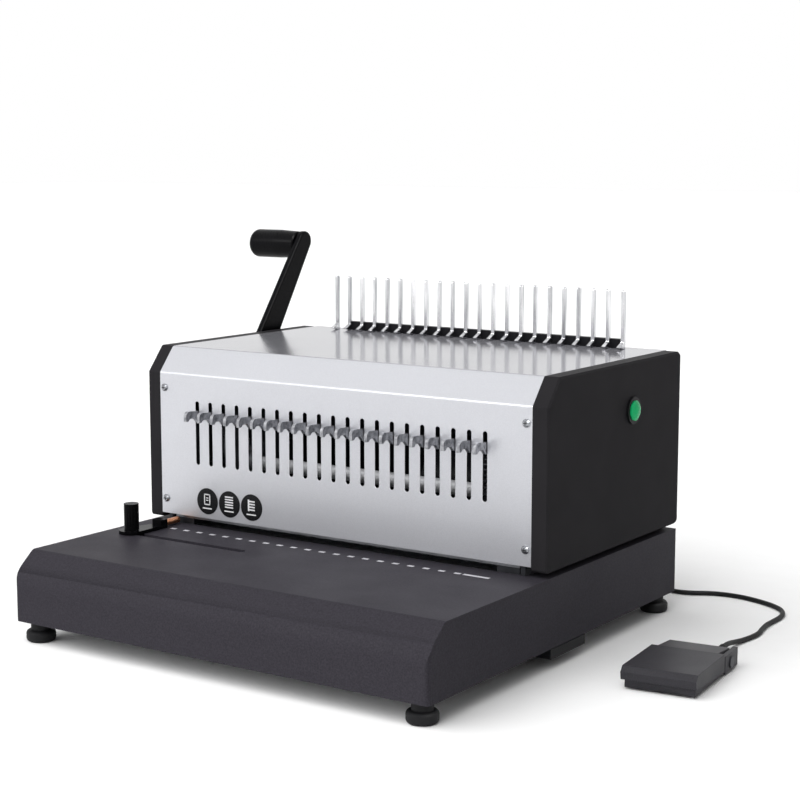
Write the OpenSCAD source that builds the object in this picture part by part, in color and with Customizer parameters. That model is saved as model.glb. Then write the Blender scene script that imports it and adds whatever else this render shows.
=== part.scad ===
// Electric comb binding machine with a hand lever comb opener, a motor punch and a foot pedal.
// Millimetres. X runs along the width, Y to the rear, Z up from the desk.
// The origin lies on the desk under the middle of the base.

/* [Comb row] */
// Distance between neighbouring comb holes
pitch = 14.2875; // [13:0.0005:16]
// Number of holes, slots and hooks
hole_count = 21; // [19:1:25]
// Length of a punched hole along the paper edge
hole_w = 8; // [6:0.5:9]
// Width of a punched hole across the paper edge
hole_d = 3; // [2:0.25:4]
// Distance from the last hole centre to the inside of a side cap
end_room = 41.125; // [40:0.125:60]

/* [Base] */
// Depth of the base
base_d = 388; // [370:1:440]
// Height of the base body above its feet
base_h = 55; // [50:1:80]
// Thickness of the base walls and the table
base_wall = 2.5; // [1.5:0.1:3.5]
// Radius of the upright corners of the base
base_corner_r = 4; // [3:0.5:10]
// Depth of the slope along the front of the table
lip_run = 21; // [10:0.5:35]
// Height of the slope along the front of the table
lip_drop = 17.5; // [8:0.5:25]
// Outer radius of the folds at both ends of the table
fold_r = 5; // [4.5:0.5:10]
// Outer radius of the soft fold under the front edge
lip_r = 24; // [10:1:30]
// Thickness of the bottom plate
bottom_t = 2; // [1:0.25:4]
// Height of the rubber feet
foot_h = 17; // [14:0.5:25]
// Diameter of the rubber feet
foot_d = 23.6; // [18:0.2:30]
// Diameter of the stem of a foot
foot_stem_d = 16; // [10:0.5:18]
// Distance from the edges of the base to the centre of a foot
foot_inset = 14; // [13:0.5:30]

/* [Housing] */
// Depth of the upper housing
housing_d = 226; // [215:1:260]
// Height of the upper housing above the table
housing_h = 151.5; // [148:0.5:180]
// Depth of the slope above the front panel
nose_run = 17.5; // [10:0.5:22]
// Height of the slope above the front panel
nose_drop = 21; // [10:0.5:26]
// Thickness of the sheet metal panels
sheet_t = 2; // [1:0.25:3]
// Gap between the table and the front panel
panel_gap = 8; // [6:0.5:10]
// Width of a side cap
cap_t = 14; // [12:0.5:20]
// Wall of a side cap
cap_wall = 2.5; // [1.5:0.25:4]
// Gap between the table and a side cap
cap_gap = 4; // [2:0.5:8]
// Radius of the rear corners of a side cap
cap_corner_r = 5; // [3:0.5:10]
// Bevel round the outer face of a side cap
cap_bevel = 1.5; // [0.5:0.25:3]
// Thickness of the side frames
frame_t = 4; // [3:0.5:6]
// Distance from a side frame to the inside of its cap
frame_room = 6; // [5:0.5:10]
// Diameter of the head of a panel screw
screw_head_d = 6.5; // [6:0.5:10]
// Diameter of the shank of a panel screw
screw_d = 4; // [3:0.5:5]

/* [Punch] */
// Distance from the front panel to the row of punches
punch_back = 20; // [18:0.5:26]
// Height of the paper throat
throat_h = 5; // [3:0.25:7]
// Thickness of the die plate
die_t = 10; // [6:0.5:14]
// Thickness of the stripper plate
stripper_t = 10; // [6:0.5:13]
// Stroke of the punches
punch_stroke = 13; // [8:0.5:16]
// Thickness of the ram bar
ram_h = 16; // [12:0.5:20]
// Depth of the ram bar
ram_d = 24; // [22:0.5:26]
// Distance from the hole centre to the edge of the paper
paper_margin = 4.5; // [3.5:0.25:6]
// Diameter of the two posts that guide the ram
post_d = 12; // [8:0.5:14]

/* [Punch drive] */
// Distance from the front panel to the cam shaft
cam_back = 78; // [76:0.5:84]
// Height of the cam shaft above the table
cam_up = 44; // [44:0.5:48]
// Diameter of the cam shaft
cam_shaft_d = 12; // [8:0.5:13]
// Smallest distance from the cam shaft to a cam nose centre
cam_low_r = 14; // [13.5:0.25:15]
// Radius of the noses that touch a cam
nose_r = 6; // [5:0.25:6.5]
// Width of a cam
cam_t = 10; // [6:0.5:12]
// Width of a cam yoke
yoke_t = 8; // [5:0.5:10]
// Module of the motor gears
gear_module = 1.5; // [1.2:0.1:1.5]
// Teeth of the drive gear
gear_teeth = 54; // [50:1:54]
// Teeth of the motor pinion
pinion_teeth = 18; // [17:1:20]
// Width of the drive gear
gear_w = 12; // [8:0.5:16]
// Diameter of the motor
motor_d = 60; // [50:1:62]
// Length of the motor
motor_len = 80; // [60:1:100]

/* [Comb opener] */
// Width of a slot in the front panel
slot_w = 4; // [3.5:0.1:4]
// Length of a slot in the front panel
slot_len = 54.5; // [52:0.5:60]
// Height of the lower slot ends above the table
slot_up = 53.5; // [50:0.5:58]
// Thickness of a hook
hook_t = 3; // [2:0.1:3]
// Height of the neck of a hook
hook_neck = 10; // [7:0.5:11]
// Distance from the front panel to the tip of a hook
hook_reach = 16; // [12:0.5:20]
// Distance from the front panel to the opener shaft
opener_back = 128; // [126:0.5:134]
// Height of the opener shaft above the table
opener_up = 78; // [77:0.5:84]
// Diameter of the opener shaft
opener_shaft_d = 14; // [10:0.5:16]
// Module of the opener gears and racks
rack_module = 2; // [1.5:0.1:2.2]
// Teeth of an opener gear
opener_teeth = 34; // [30:1:36]
// Width of an opener gear and its rack
opener_gear_w = 8; // [6:0.5:10]
// Turn of the lever from rest to fully open
opener_throw = 57; // [40:1:57]
// Diameter of the rods that guide the hook carriage
rod_d = 10; // [8:0.5:12]
// Thickness of the hook carriage bar
carriage_t = 8; // [6:0.5:10]
// Height of the hook carriage bar
carriage_h = 26; // [22:0.5:30]

/* [Lever] */
// Length of the lever from the shaft to the grip
lever_len = 182; // [150:1:220]
// Lean of the lever to the rear at rest
lever_lean = 34; // [20:1:40]
// Thickness of the lever arm
lever_t = 6; // [4:0.5:10]
// Width of the lever arm at the shaft
lever_foot_w = 32; // [30:0.5:40]
// Width of the lever arm at the grip
lever_tip_w = 19; // [14:0.5:24]
// Gap between the left cap and the lever arm
lever_gap = 4; // [3:0.5:8]
// Diameter of the grip
grip_d = 27; // [22:0.5:34]
// Length of the grip
grip_len = 54; // [40:1:110]

/* [Comb fingers] */
// Height of a finger above the top cover
finger_h = 50.5; // [30:0.5:70]
// Width of a finger along the row
finger_w = 3.5; // [2.5:0.1:5]
// Thickness of a finger
finger_t = 3; // [2:0.1:4]
// Length of the pointed toe of a finger
finger_toe = 8; // [6:0.5:14]
// Distance from the rear of the housing to the fingers
finger_in = 15; // [14:0.5:40]
// Height of the rail behind the fingers
rail_h = 8; // [5:0.5:12]
// Thickness of the rail behind the fingers
rail_t = 6; // [4:0.5:10]

/* [Power button] */
// Diameter of the push button
button_d = 16.4; // [12:0.2:18]
// Diameter of the bezel round the button
bezel_d = 22; // [21:0.5:28]
// Distance from the front panel to the button
button_back = 137; // [110:1:150]
// Height of the button above the table
button_up = 112; // [100:1:120]

/* [Chip tray] */
// Width of the tray body
tray_w = 55; // [40:1:70]
// Height of the tray below the base
tray_drop = 8.2; // [7:0.1:10]
// Distance from the punch row to the front of the tray
tray_front = 13; // [8:0.5:16]
// Wall of the tray
tray_wall = 1.3; // [0.8:0.1:2]
// Width of the rims that hang the tray on its runners
rim_w = 4; // [3:0.25:6]

/* [Side guide] */
// Distance from the front panel to the guide slot
guide_front = 52.5; // [40:0.5:70]
// Distance from the end of the table to the guide knob at rest
guide_in = 26; // [20:0.5:40]
// Travel of the guide along its slot
guide_travel = 116; // [60:1:140]
// Diameter of the guide knob
knob_d = 12.5; // [11:0.5:18]
// Height of the guide knob above its plate
knob_h = 22; // [15:0.5:30]
// Diameter of the stud that the guide knob turns on
stud_d = 6.5; // [5:0.25:7]
// Thickness of the guide plate
guide_t = 2.8; // [2:0.1:4]
// Diameter of the brass stop pin
stop_pin_d = 5.6; // [3:0.1:6]

/* [Rear sockets] */
// Distance from the middle to the mains inlet, to the left
inlet_x = 110; // [75:1:125]
// Height of the mains inlet above the bottom edge of the base
inlet_up = 28; // [24:0.5:34]
// Distance from the right side to the gland of the pedal cord
gland_in = 78; // [72:1:82]
// Height of the gland above the bottom edge of the base
gland_up = 15; // [12:0.5:18]

/* [Foot pedal] */
// Width of the pedal
pedal_w = 58; // [50:1:70]
// Length of the pedal
pedal_l = 100; // [96:1:104]
// Height of the pedal
pedal_h = 18; // [17:0.5:24]
// Sheet thickness of the treadle
treadle_t = 1.5; // [1:0.25:3]
// Diameter of the treadle pin
pedal_pin_d = 4; // [3:0.25:5]
// Diameter of the pedal cord
cord_d = 4; // [4:0.5:5]

/* [Clearances] */
// Radial clearance of a shaft or rod that runs in a bore
run_gap = 0.05; // [0.02:0.01:0.1]
// Radial clearance of a piece seated on a shaft
seat_gap = 0.02; // [0.01:0.01:0.05]
// Clearance between flat pieces that slide past each other
slide_gap = 0.4; // [0.3:0.05:0.6]
// Clearance of the punches in the die and the stripper
punch_gap = 0.12; // [0.05:0.01:0.2]
// Clearance between a cam and its noses
cam_gap = 0.4; // [0.35:0.05:0.6]
// Backlash of the gear teeth
backlash = 0.25; // [0.15:0.05:0.4]

/* [Hidden] */
$fn = 48;

// Colours
graphite = "#4a484e";
black = "#1c1c1f";
silver = "#d4d4da";
steel = "#9a9ca0";
dark_steel = "#6b6d72";
brass = "#b5793f";
green = "#14a05f";

// Main planes
row_w = (hole_count - 1) * pitch;
inner_x = row_w / 2 + end_room;
base_x = inner_x + cap_t;
table_z = foot_h + base_h;
rear_y = base_d / 2;
front_y = rear_y - housing_d;
top_z = table_z + housing_h;
panel_z = table_z + panel_gap;
frame_x = inner_x - frame_room;
frame_in = frame_x - frame_t;

// Punch unit
unit_x = frame_in - 2;
punch_y = front_y + punch_back;
unit_front = front_y + sheet_t + 2;
unit_rear = punch_y + 26;
die_z = table_z - die_t;
throat_z = table_z + throat_h;
stripper_z = throat_z + stripper_t;
punch_tip_z = throat_z + 1;
ram_z = stripper_z + punch_stroke + 1;
ram_top = ram_z + ram_h;
ram_rear = punch_y + ram_d / 2;
post_x = unit_x - post_d / 2 - 4;
spacer_w = post_d + 8;

// Punch drive
cam_y = front_y + cam_back;
cam_z = table_z + cam_up;
cam_high_r = cam_low_r + punch_stroke;
cam_edge_r = cam_high_r - nose_r - cam_gap;
yoke_x = unit_x - 28;
yoke_rim = 9;
yoke_half = cam_edge_r + 2;
gear_x = yoke_x - 32;
gear_r = gear_module * gear_teeth / 2;
pinion_r = gear_module * pinion_teeth / 2;
pinion_turn = -10;
motor_y = cam_y + (gear_r + pinion_r) * cos(pinion_turn);
motor_z = cam_z + (gear_r + pinion_r) * sin(pinion_turn);
motor_shaft_d = 8;
motor_boss_d = 20;
motor_plate_t = 4;
motor_face = gear_x - 7;
bush_wall = 4;
bush_flange = 2;

// Comb opener
slot_z = table_z + slot_up;
slot_top = slot_z + slot_len;
neck_top = slot_top - 8.5;
neck_z = neck_top - hook_neck;
carriage_y = front_y + 24;
carriage_z = neck_z + 0.5;
opener_y = front_y + opener_back;
opener_z = table_z + opener_up;
opener_r = rack_module * opener_teeth / 2;
opener_travel = opener_throw * PI / 180 * opener_r;
rack_y = opener_y - opener_r;
rack_back = rack_y - 3 * rack_module;
rod_x = unit_x - 8;
rod_y = carriage_y + 32;
rod_boss_d = rod_d + 6;
arm_w = opener_gear_w + 4;
arm_h = 20;
rod_low = carriage_z - opener_travel - 18;
rod_high = carriage_z + carriage_h + 16;
bracket_h = 8;

// Lever
lever_x = base_x + lever_gap;
hub_d = 26;
hub_flange_d = lever_foot_w - 2;
shaft_end = lever_x + lever_t + 6;
grip_y = opener_y + lever_len * sin(lever_lean);
grip_z = opener_z + lever_len * cos(lever_lean);

// Comb fingers
finger_y = rear_y - finger_in;

// Power button
button_y = front_y + button_back;
button_z = table_z + button_up;
button_out = 4;
button_travel = 2.5;
bezel_out = 2;
sleeve_d = button_d + 3;
switch_x = frame_x + 1;
switch_front = base_x - cap_wall - 7;

// Base and chip tray
lip_tilt = atan(lip_drop / lip_run);
floor_z = foot_h + bottom_t;
tray_z = foot_h - tray_drop;
tray_top = foot_h - slide_gap;
tray_y = punch_y - tray_front;
tray_mid = tray_y + tray_w / 2;
rim_t = 1.3;
rim_end = base_x - 48;
runner_t = 1.5;

// Side guide
guide_y = front_y - guide_front;
guide_x = -base_x + guide_in;
guide_z = table_z + slide_gap;
guide_top = guide_z + guide_t;
slot_room = 6;
stop_x = guide_x + 6;
stop_z = table_z + stop_pin_d / 2 + 0.8;
stop_front = front_y - 20;
knob_z = guide_top + slide_gap;
knob_cap = 5;
bolt_w = 14;
bolt_h = 5;
bolt_z = table_z - base_wall - slide_gap;

// Rear sockets
inlet_z = foot_h + inlet_up;
inlet_w = 27;
inlet_h = 20;
gland_z = foot_h + gland_up;
gland_d = 10;
gland_len = 26;

// Foot pedal
pedal_turn = 6;
pedal_at = [base_x + 88.6, rear_y - 178.8, 0];
pad_h = 1.5;
pan_floor = 1.5;
pan_wall = 2;
pan_h = 8.5;
pan_rear = pedal_l / 2 - 2;
pin_y = pedal_l / 2 - 19;
pin_z = 8;
step_y = pedal_l / 2 - 34;
step_in = 5;
step_gap = 1.5;
tail_fall = 2.5;
relief_d = 6;
relief_len = 23;
relief_z = 7;
relief_x = 10;
tip_d = cord_d + 1.2;
pedal_back = [-sin(pedal_turn), cos(pedal_turn), 0];
pedal_right = [pedal_back[1], -pedal_back[0], 0];
pedal_tip = pedal_at + relief_x * pedal_right + (pan_rear + relief_len) * pedal_back + [0, 0, relief_z];

// Route of the pedal cord from the base gland, measured from the rear right corner of the base
cord_bends = [
    [-gland_in, gland_len, gland_z], [-gland_in, gland_len + 7, 0.99 * gland_z], [-77, 42, 0.88 * gland_z],
    [-74.5, 50, 0.66 * gland_z], [-69.5, 56, 0.41 * gland_z], [-62, 59, 0.2 * gland_z], [-52, 58.5, 3],
    [-41, 55, 2.2], [-30, 51, 2.2], [-18.5, 50, 2.2], [-7, 54, 2.2], [4, 60, 2.2], [17, 63.5, 2.2],
    [32, 63.5, 2.2], [45, 60.5, 2.2], [57, 56, 2.2], [68.5, 50, 2.2], [78.5, 41.5, 2.2], [85, 30, 2.2],
    [87.5, 16.5, 2.2], [87.5, 2.5, 2.2], [87.5, -11.5, 2.2], [89.5, -25.5, 2.2], [92, -39, 2.2],
    [91.6, -52, 2.2], [89.8, -65, 2.4], [88.6, -77, 3.6], [89.1, -88, 5.4]
];
cord_route = concat([for (p = cord_bends) p + [base_x, rear_y, 0]],
                    [pedal_tip + 9 * pedal_back - [0, 0, 0.3], pedal_tip]);
cord_sides = 10;

// Geometry helpers

// Solid between two opposite corners
module box_at(low, high) {
    translate(low) cube(high - low);
}

// Outline drawn in Y and Z, extruded along X
module along_x(length, x0) {
    translate([x0, 0, 0]) rotate([90, 0, 90]) linear_extrude(length) children();
}

// Outline drawn in Y and Z, extruded evenly to both sides of the middle
module across_x(length) {
    along_x(length, -length / 2) children();
}

// Round bar along X
module bar_x(d, x0, x1, y, z) {
    translate([x0, y, z]) rotate([0, 90, 0]) cylinder(d = d, h = x1 - x0);
}

// Round bar along Y
module bar_y(d, x, y0, y1, z) {
    translate([x, y0, z]) rotate([-90, 0, 0]) cylinder(d = d, h = y1 - y0);
}

// The children and their mirror image on the left
module pair_x() {
    children();
    mirror([1, 0, 0]) children();
}

// One child at each place of the comb row
module comb_row(count) {
    for (i = [0 : count - 1])
        translate([(i - (count - 1) / 2) * pitch, 0, 0]) children();
}

// Rectangle with round corners, centred
module rounded_rect(w, d, r) {
    square([w - 2 * r, d], center = true);
    square([w, d - 2 * r], center = true);
    for (x = [-1, 1], y = [-1, 1])
        translate([x * (w / 2 - r), y * (d / 2 - r)]) circle(r);
}

// Slot with round ends, from one end to the other along its second axis
module round_slot(w, y0, y1) {
    translate([-w / 2, y0 + w / 2]) square([w, y1 - y0 - w]);
    for (y = [y0 + w / 2, y1 - w / 2])
        translate([0, y]) circle(d = w);
}

// Corner of a counter-clockwise outline moved inward by t on both sides
function inset_point(a, b, c, t) =
    let (u = (b - a) / norm(b - a), v = (c - b) / norm(c - b), m = [-u.y, u.x], n = [-v.y, v.x])
    b + t * (m + n) / (1 + m * n);

// Whole outline moved inward by t
function inset(pts, t) =
    let (n = len(pts))
    [for (i = [0 : n - 1]) inset_point(pts[(i + n - 1) % n], pts[i], pts[(i + 1) % n], t)];

// Points on an arc
function arc(centre, r, a0, a1, steps) =
    [for (i = [0 : steps]) let (a = a0 + (a1 - a0) * i / steps) centre + r * [cos(a), sin(a)]];

// Side outline of the base and of the upper housing, from a lower edge at z0
function base_profile(z0) =
    let (top_in = fold_r * tan(lip_tilt / 2), front_in = lip_r * tan(45 - lip_tilt / 2))
    concat([[-rear_y, z0], [rear_y, z0]], arc([rear_y - fold_r, table_z - fold_r], fold_r, 0, 90, 5),
           arc([lip_run - rear_y + top_in, table_z - fold_r], fold_r, 90, 90 + lip_tilt, 4),
           arc([lip_r - rear_y, table_z - lip_drop - front_in], lip_r, 90 + lip_tilt, 180, 6));
function housing_profile(z0) =
    [[front_y, z0], [rear_y, z0], [rear_y, top_z],
     [front_y + nose_run, top_z], [front_y, top_z - nose_drop]];

// Involute gear teeth
pressure = 20;
flank_steps = 3;
function polar(r, a) = r * [cos(a), sin(a)];
function involute(a) = tan(a) * 180 / PI - a;
function tooth_half(r, m, z) =
    let (rp = m * z / 2)
    90 / z - backlash / rp * 45 / PI + involute(pressure) - involute(acos(min(1, rp * cos(pressure) / r)));
function tooth_radii(m, z) =
    let (rp = m * z / 2, low = max(rp * cos(pressure), rp - 1.25 * m), high = rp + m)
    concat([rp - 1.25 * m], [for (k = [0 : flank_steps]) low + (high - low) * k / flank_steps]);
function gear_points(m, z) =
    let (radii = tooth_radii(m, z), n = len(radii))
    [for (i = [0 : z - 1])
        each concat([for (k = [0 : n - 1]) polar(radii[k], 360 * i / z - tooth_half(radii[k], m, z))],
                    [for (k = [n - 1 : -1 : 0]) polar(radii[k], 360 * i / z + tooth_half(radii[k], m, z))])];

// Rack teeth that face the rear, one tooth gap level with the opener shaft
rack_pitch = PI * rack_module;
rack_root = rack_y - 1.25 * rack_module;
rack_first = -2;
rack_last = ceil(opener_travel / rack_pitch) + 1;
rack_tip_half = rack_pitch / 4 - backlash / 2 - rack_module * tan(pressure);
rack_root_half = rack_pitch / 4 - backlash / 2 + 1.25 * rack_module * tan(pressure);
rack_low = opener_z + rack_first * rack_pitch;
rack_high = opener_z + (rack_last + 1) * rack_pitch;
function rack_tooth(k) =
    let (z = opener_z + (k + 0.5) * rack_pitch, tip = rack_y + rack_module)
    [[rack_root, z - rack_root_half], [tip, z - rack_tip_half],
     [tip, z + rack_tip_half], [rack_root, z + rack_root_half]];

// Heart cam that moves its noses by equal steps for equal turns, a measured from the top
cam_rate = punch_stroke / PI;
cam_step = 4;
function cam_point(a) =
    let (r = cam_high_r - punch_stroke * a / 180, out = [sin(a), cos(a)], along = [cos(a), -sin(a)])
    r * out - (nose_r + cam_gap) * (r * out + cam_rate * along) / norm([r, cam_rate]);
cam_half = [for (a = [0 : cam_step : 180]) let (p = cam_point(a)) if (p.x > 0) p];
cam_points = concat(cam_half, [for (i = [len(cam_half) - 1 : -1 : 0]) [-cam_half[i].x, cam_half[i].y]]);

// Tube swept along a list of points
function unit(v) = v / norm(v);
function heading(pts, i) = unit(pts[min(i + 1, len(pts) - 1)] - pts[max(i - 1, 0)]);
function ring(pts, i, r, sides) =
    let (t = heading(pts, i), s = unit(cross(t, [0, 0, 1])), u = cross(s, t))
    [for (k = [0 : sides - 1]) pts[i] + r * (cos(360 * k / sides) * s + sin(360 * k / sides) * u)];
function tube_points(pts, r, sides) = [for (i = [0 : len(pts) - 1]) each ring(pts, i, r, sides)];
function tube_walls(count, sides) =
    [for (i = [0 : count - 2], k = [0 : sides - 1])
        let (a = i * sides + k, b = i * sides + (k + 1) % sides)
        each [[a, b, b + sides], [a, b + sides, a + sides]]];
function tube_faces(count, sides) =
    concat([[for (k = [sides - 1 : -1 : 0]) k]], tube_walls(count, sides),
           [[for (k = [0 : sides - 1]) (count - 1) * sides + k]]);

// Base

// Plan of the space inside the base walls
module base_inside() {
    r = max(0.5, base_corner_r - base_wall);
    rounded_rect(2 * (base_x - base_wall), base_d - 2 * base_wall, r);
}

// Cut-outs of the base: die, guide slot, mains inlet and cord gland
module base_cuts() {
    box_at([-unit_x - slide_gap, unit_front - slide_gap, die_z],
           [unit_x + slide_gap, unit_rear + slide_gap, table_z + 1]);
    translate([0, guide_y, table_z - 2 * base_wall]) linear_extrude(3 * base_wall) rotate(-90)
        round_slot(stud_d + 2 * slide_gap, guide_x - slot_room, guide_x + guide_travel + slot_room);
    box_at([-inlet_x - inlet_w / 2, rear_y - 2 * base_wall, inlet_z - inlet_h / 2],
           [-inlet_x + inlet_w / 2, rear_y + 1, inlet_z + inlet_h / 2]);
    bar_y(gland_d + 2 * seat_gap, base_x - gland_in, rear_y - 2 * base_wall, rear_y + 1, gland_z);
}

module base_shell() {
    color(graphite) difference() {
        intersection() {
            across_x(2 * base_x) polygon(base_profile(foot_h));
            linear_extrude(table_z + 1) rounded_rect(2 * base_x, base_d, base_corner_r);
        }
        intersection() {
            across_x(2 * base_x) polygon(inset(base_profile(foot_h - 2 * base_wall), base_wall));
            linear_extrude(table_z) base_inside();
        }
        base_cuts();
    }
}

// Plate that closes the base, with a window where the chips fall into the tray
module bottom_plate() {
    window_x = unit_x - spacer_w;
    window_y = tray_w / 2 - 3;
    color(dark_steel) difference() {
        translate([0, 0, foot_h]) linear_extrude(bottom_t) base_inside();
        box_at([-window_x, tray_mid - window_y, 0], [window_x, tray_mid + window_y, floor_z + 1]);
    }
}

// Rubber foot with a round-edged disc under a narrower stem
module base_feet() {
    r = foot_d / 2;
    disc_h = 9.5;
    edge_r = 3;
    profile = concat([[0, 0]], arc([r - edge_r, edge_r], edge_r, -90, 0, 6),
                     arc([r - edge_r, disc_h - edge_r], edge_r, 0, 90, 6),
                     [[foot_stem_d / 2, disc_h], [foot_stem_d / 2, foot_h], [0, foot_h]]);
    color(black) for (x = [-1, 1], y = [-1, 1])
        translate([x * (base_x - foot_inset), y * (rear_y - foot_inset), 0])
            rotate_extrude() polygon(profile);
}

// Shallow tray right through under the base, with rims along its sides that ride on the runners
module chip_tray() {
    half = tray_w / 2;
    end = base_x - 2 * tray_wall;
    color(black) translate([0, tray_mid, 0]) difference() {
        union() {
            box_at([-base_x, -half, tray_z], [base_x, half, tray_top]);
            box_at([-inner_x, -half - rim_w, tray_top - rim_t], [rim_end, half + rim_w, tray_top]);
        }
        box_at([-end, tray_wall - half, tray_z + tray_wall], [end, half - tray_wall, tray_top + 1]);
    }
}

// Angle runners under the bottom plate that carry the rims of the tray
module tray_runners() {
    ledge_in = tray_w / 2 + slide_gap;
    web_in = tray_w / 2 + rim_w + slide_gap;
    ledge_top = tray_top - rim_t - slide_gap;
    color(steel) for (s = [0, 1])
        translate([0, tray_mid, 0]) mirror([0, s, 0]) {
            box_at([-inner_x, web_in, ledge_top - runner_t], [rim_end, web_in + runner_t, foot_h]);
            box_at([-inner_x, ledge_in, ledge_top - runner_t], [rim_end, web_in + 0.5, ledge_top]);
        }
}

// Blocks on the bottom plate that carry the ends of the die plate
module die_bearers() {
    bearer_t = 10;
    color(dark_steel) pair_x()
        box_at([unit_x - 2 - bearer_t, unit_front + 2, floor_z], [unit_x - 2, unit_rear - 2, die_z]);
}

// Punch unit

// Rectangular holes of the comb row, with the given clearance round a punch
module row_holes(gap, z0, z1) {
    w = hole_w / 2 + gap;
    d = hole_d / 2 + gap;
    comb_row(hole_count) box_at([-w, punch_y - d, z0], [w, punch_y + d, z1]);
}

module post_holes(d, z0, z1) {
    for (x = [-post_x, post_x])
        translate([x, punch_y, z0]) cylinder(d = d, h = z1 - z0);
}

module die_plate() {
    color(steel) difference() {
        box_at([-unit_x, unit_front, die_z], [unit_x, unit_rear, table_z]);
        row_holes(punch_gap, die_z - 1, table_z + 1);
        post_holes(post_d + 2 * seat_gap, die_z - 1, table_z + 1);
    }
}

module stripper_plate() {
    color(steel) difference() {
        box_at([-unit_x, unit_front, throat_z], [unit_x, unit_rear, stripper_z]);
        row_holes(punch_gap, throat_z - 1, stripper_z + 1);
        post_holes(post_d + 2 * seat_gap, throat_z - 1, stripper_z + 1);
    }
}

module throat_spacers() {
    color(dark_steel) difference() {
        pair_x() box_at([unit_x - spacer_w, unit_front, table_z], [unit_x, unit_rear, throat_z]);
        post_holes(post_d + 2 * seat_gap, table_z - 1, throat_z + 1);
    }
}

// Bar that stops the paper edge behind the punches
module paper_stop() {
    stop_y = punch_y + paper_margin;
    color(dark_steel) box_at([spacer_w - unit_x, stop_y, table_z], [unit_x - spacer_w, stop_y + 5, throat_z]);
}

module guide_posts() {
    color(steel) post_holes(post_d, die_z, ram_top + 2);
}

module ram_bar() {
    color(dark_steel) difference() {
        box_at([-unit_x, punch_y - ram_d / 2, ram_z], [unit_x, ram_rear, ram_top]);
        post_holes(post_d + 2 * run_gap, ram_z - 1, ram_top + 1);
    }
}

// Flat punches with a notched cutting end
module punches() {
    notch = 1.5;
    half = hole_w / 2;
    color(steel) comb_row(hole_count)
        translate([0, punch_y + hole_d / 2, 0]) rotate([90, 0, 0]) linear_extrude(hole_d)
            polygon([[-half, punch_tip_z], [0, punch_tip_z + notch], [half, punch_tip_z],
                     [half, ram_z], [-half, ram_z]]);
}

// Yokes that hang on the ram and hold each cam between two round noses
module ram_yokes() {
    low = cam_z - cam_low_r;
    high = cam_z + cam_high_r;
    color(dark_steel) pair_x() along_x(yoke_t, yoke_x - yoke_t / 2) {
        difference() {
            translate([cam_y - yoke_half - yoke_rim, low - 3 - yoke_rim])
                square([2 * (yoke_half + yoke_rim), high - low + 2 * (3 + yoke_rim)]);
            translate([cam_y - yoke_half, low - 3]) square([2 * yoke_half, high - low + 6]);
        }
        for (z = [low, high])
            translate([cam_y, z]) circle(nose_r);
        translate([ram_rear, ram_z]) square([cam_y - yoke_half - ram_rear - 1, ram_h]);
    }
}

// Punch drive

module cam_shaft() {
    color(steel) bar_x(cam_shaft_d, -frame_x - 2, frame_x + 2, cam_y, cam_z);
}

module heart_cams() {
    color(steel) pair_x() along_x(cam_t, yoke_x - cam_t / 2) translate([cam_y, cam_z]) difference() {
        polygon(cam_points);
        circle(d = cam_shaft_d + 2 * seat_gap);
    }
}

module drive_gear() {
    hub_w = 8;
    hub_d = cam_shaft_d + 14;
    color(steel) {
        along_x(gear_w, gear_x) translate([cam_y, cam_z]) difference() {
            rotate(pinion_turn) polygon(gear_points(gear_module, gear_teeth));
            circle(d = cam_shaft_d + 2 * seat_gap);
        }
        along_x(hub_w, gear_x + gear_w - 0.5) translate([cam_y, cam_z]) difference() {
            circle(d = hub_d);
            circle(d = cam_shaft_d + 2 * seat_gap);
        }
    }
}

module motor_pinion() {
    color(steel) {
        along_x(gear_w + 2, gear_x - 1) translate([motor_y, motor_z])
            rotate(pinion_turn + 180 + 180 / pinion_teeth) polygon(gear_points(gear_module, pinion_teeth));
        bar_x(motor_shaft_d, motor_face - 20, gear_x, motor_y, motor_z);
    }
}

module gear_motor() {
    x0 = motor_face - motor_plate_t - motor_len;
    color(black) difference() {
        union() {
            bar_x(motor_d, x0, motor_face - motor_plate_t, motor_y, motor_z);
            bar_x(motor_d - 10, x0 - 8, x0 + 1, motor_y, motor_z);
            bar_x(motor_boss_d, motor_face - motor_plate_t - 1, motor_face + 2, motor_y, motor_z);
        }
        bar_x(motor_shaft_d + 2 * run_gap, motor_face - 22, motor_face + 3, motor_y, motor_z);
    }
}

// Angle bracket that holds the motor on the table
module motor_bracket() {
    half = motor_d / 2 + 4;
    foot_len = 30;
    foot_t = 3;
    color(dark_steel) {
        along_x(motor_plate_t, motor_face - motor_plate_t) difference() {
            translate([motor_y - half, table_z]) square([2 * half, motor_z + half - table_z]);
            translate([motor_y, motor_z]) circle(d = motor_boss_d + 2 * seat_gap);
        }
        box_at([motor_face - foot_len, motor_y - half, table_z],
               [motor_face - 1, motor_y + half, table_z + foot_t]);
    }
}

// Frames and housing

// Plate with folded edges that carries the shafts, drawn for the right side
module side_frame() {
    flange_x = inner_x - 0.5;
    flange_t = 3;
    edge = inset(housing_profile(table_z - sheet_t), sheet_t);
    color(dark_steel) difference() {
        union() {
            along_x(frame_t, frame_in) polygon(edge);
            box_at([frame_in, edge[0].x, panel_z + 4], [flange_x, edge[0].x + flange_t, edge[4].y - 3]);
            box_at([frame_in, edge[1].x - flange_t, table_z + 12], [flange_x, edge[1].x, edge[2].y - 12]);
            box_at([frame_in, edge[3].x + 8, edge[2].y - flange_t], [flange_x, edge[2].x - 12, edge[2].y]);
        }
        bar_x(cam_shaft_d + 2 * bush_wall + 2 * seat_gap, frame_in - 1, frame_x + 1, cam_y, cam_z);
        bar_x(opener_shaft_d + 2 * bush_wall + 2 * seat_gap, frame_in - 1, frame_x + 1, opener_y, opener_z);
        screw_bores(screw_d + 2 * seat_gap);
    }
}

module right_frame() {
    side_frame();
}

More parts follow.
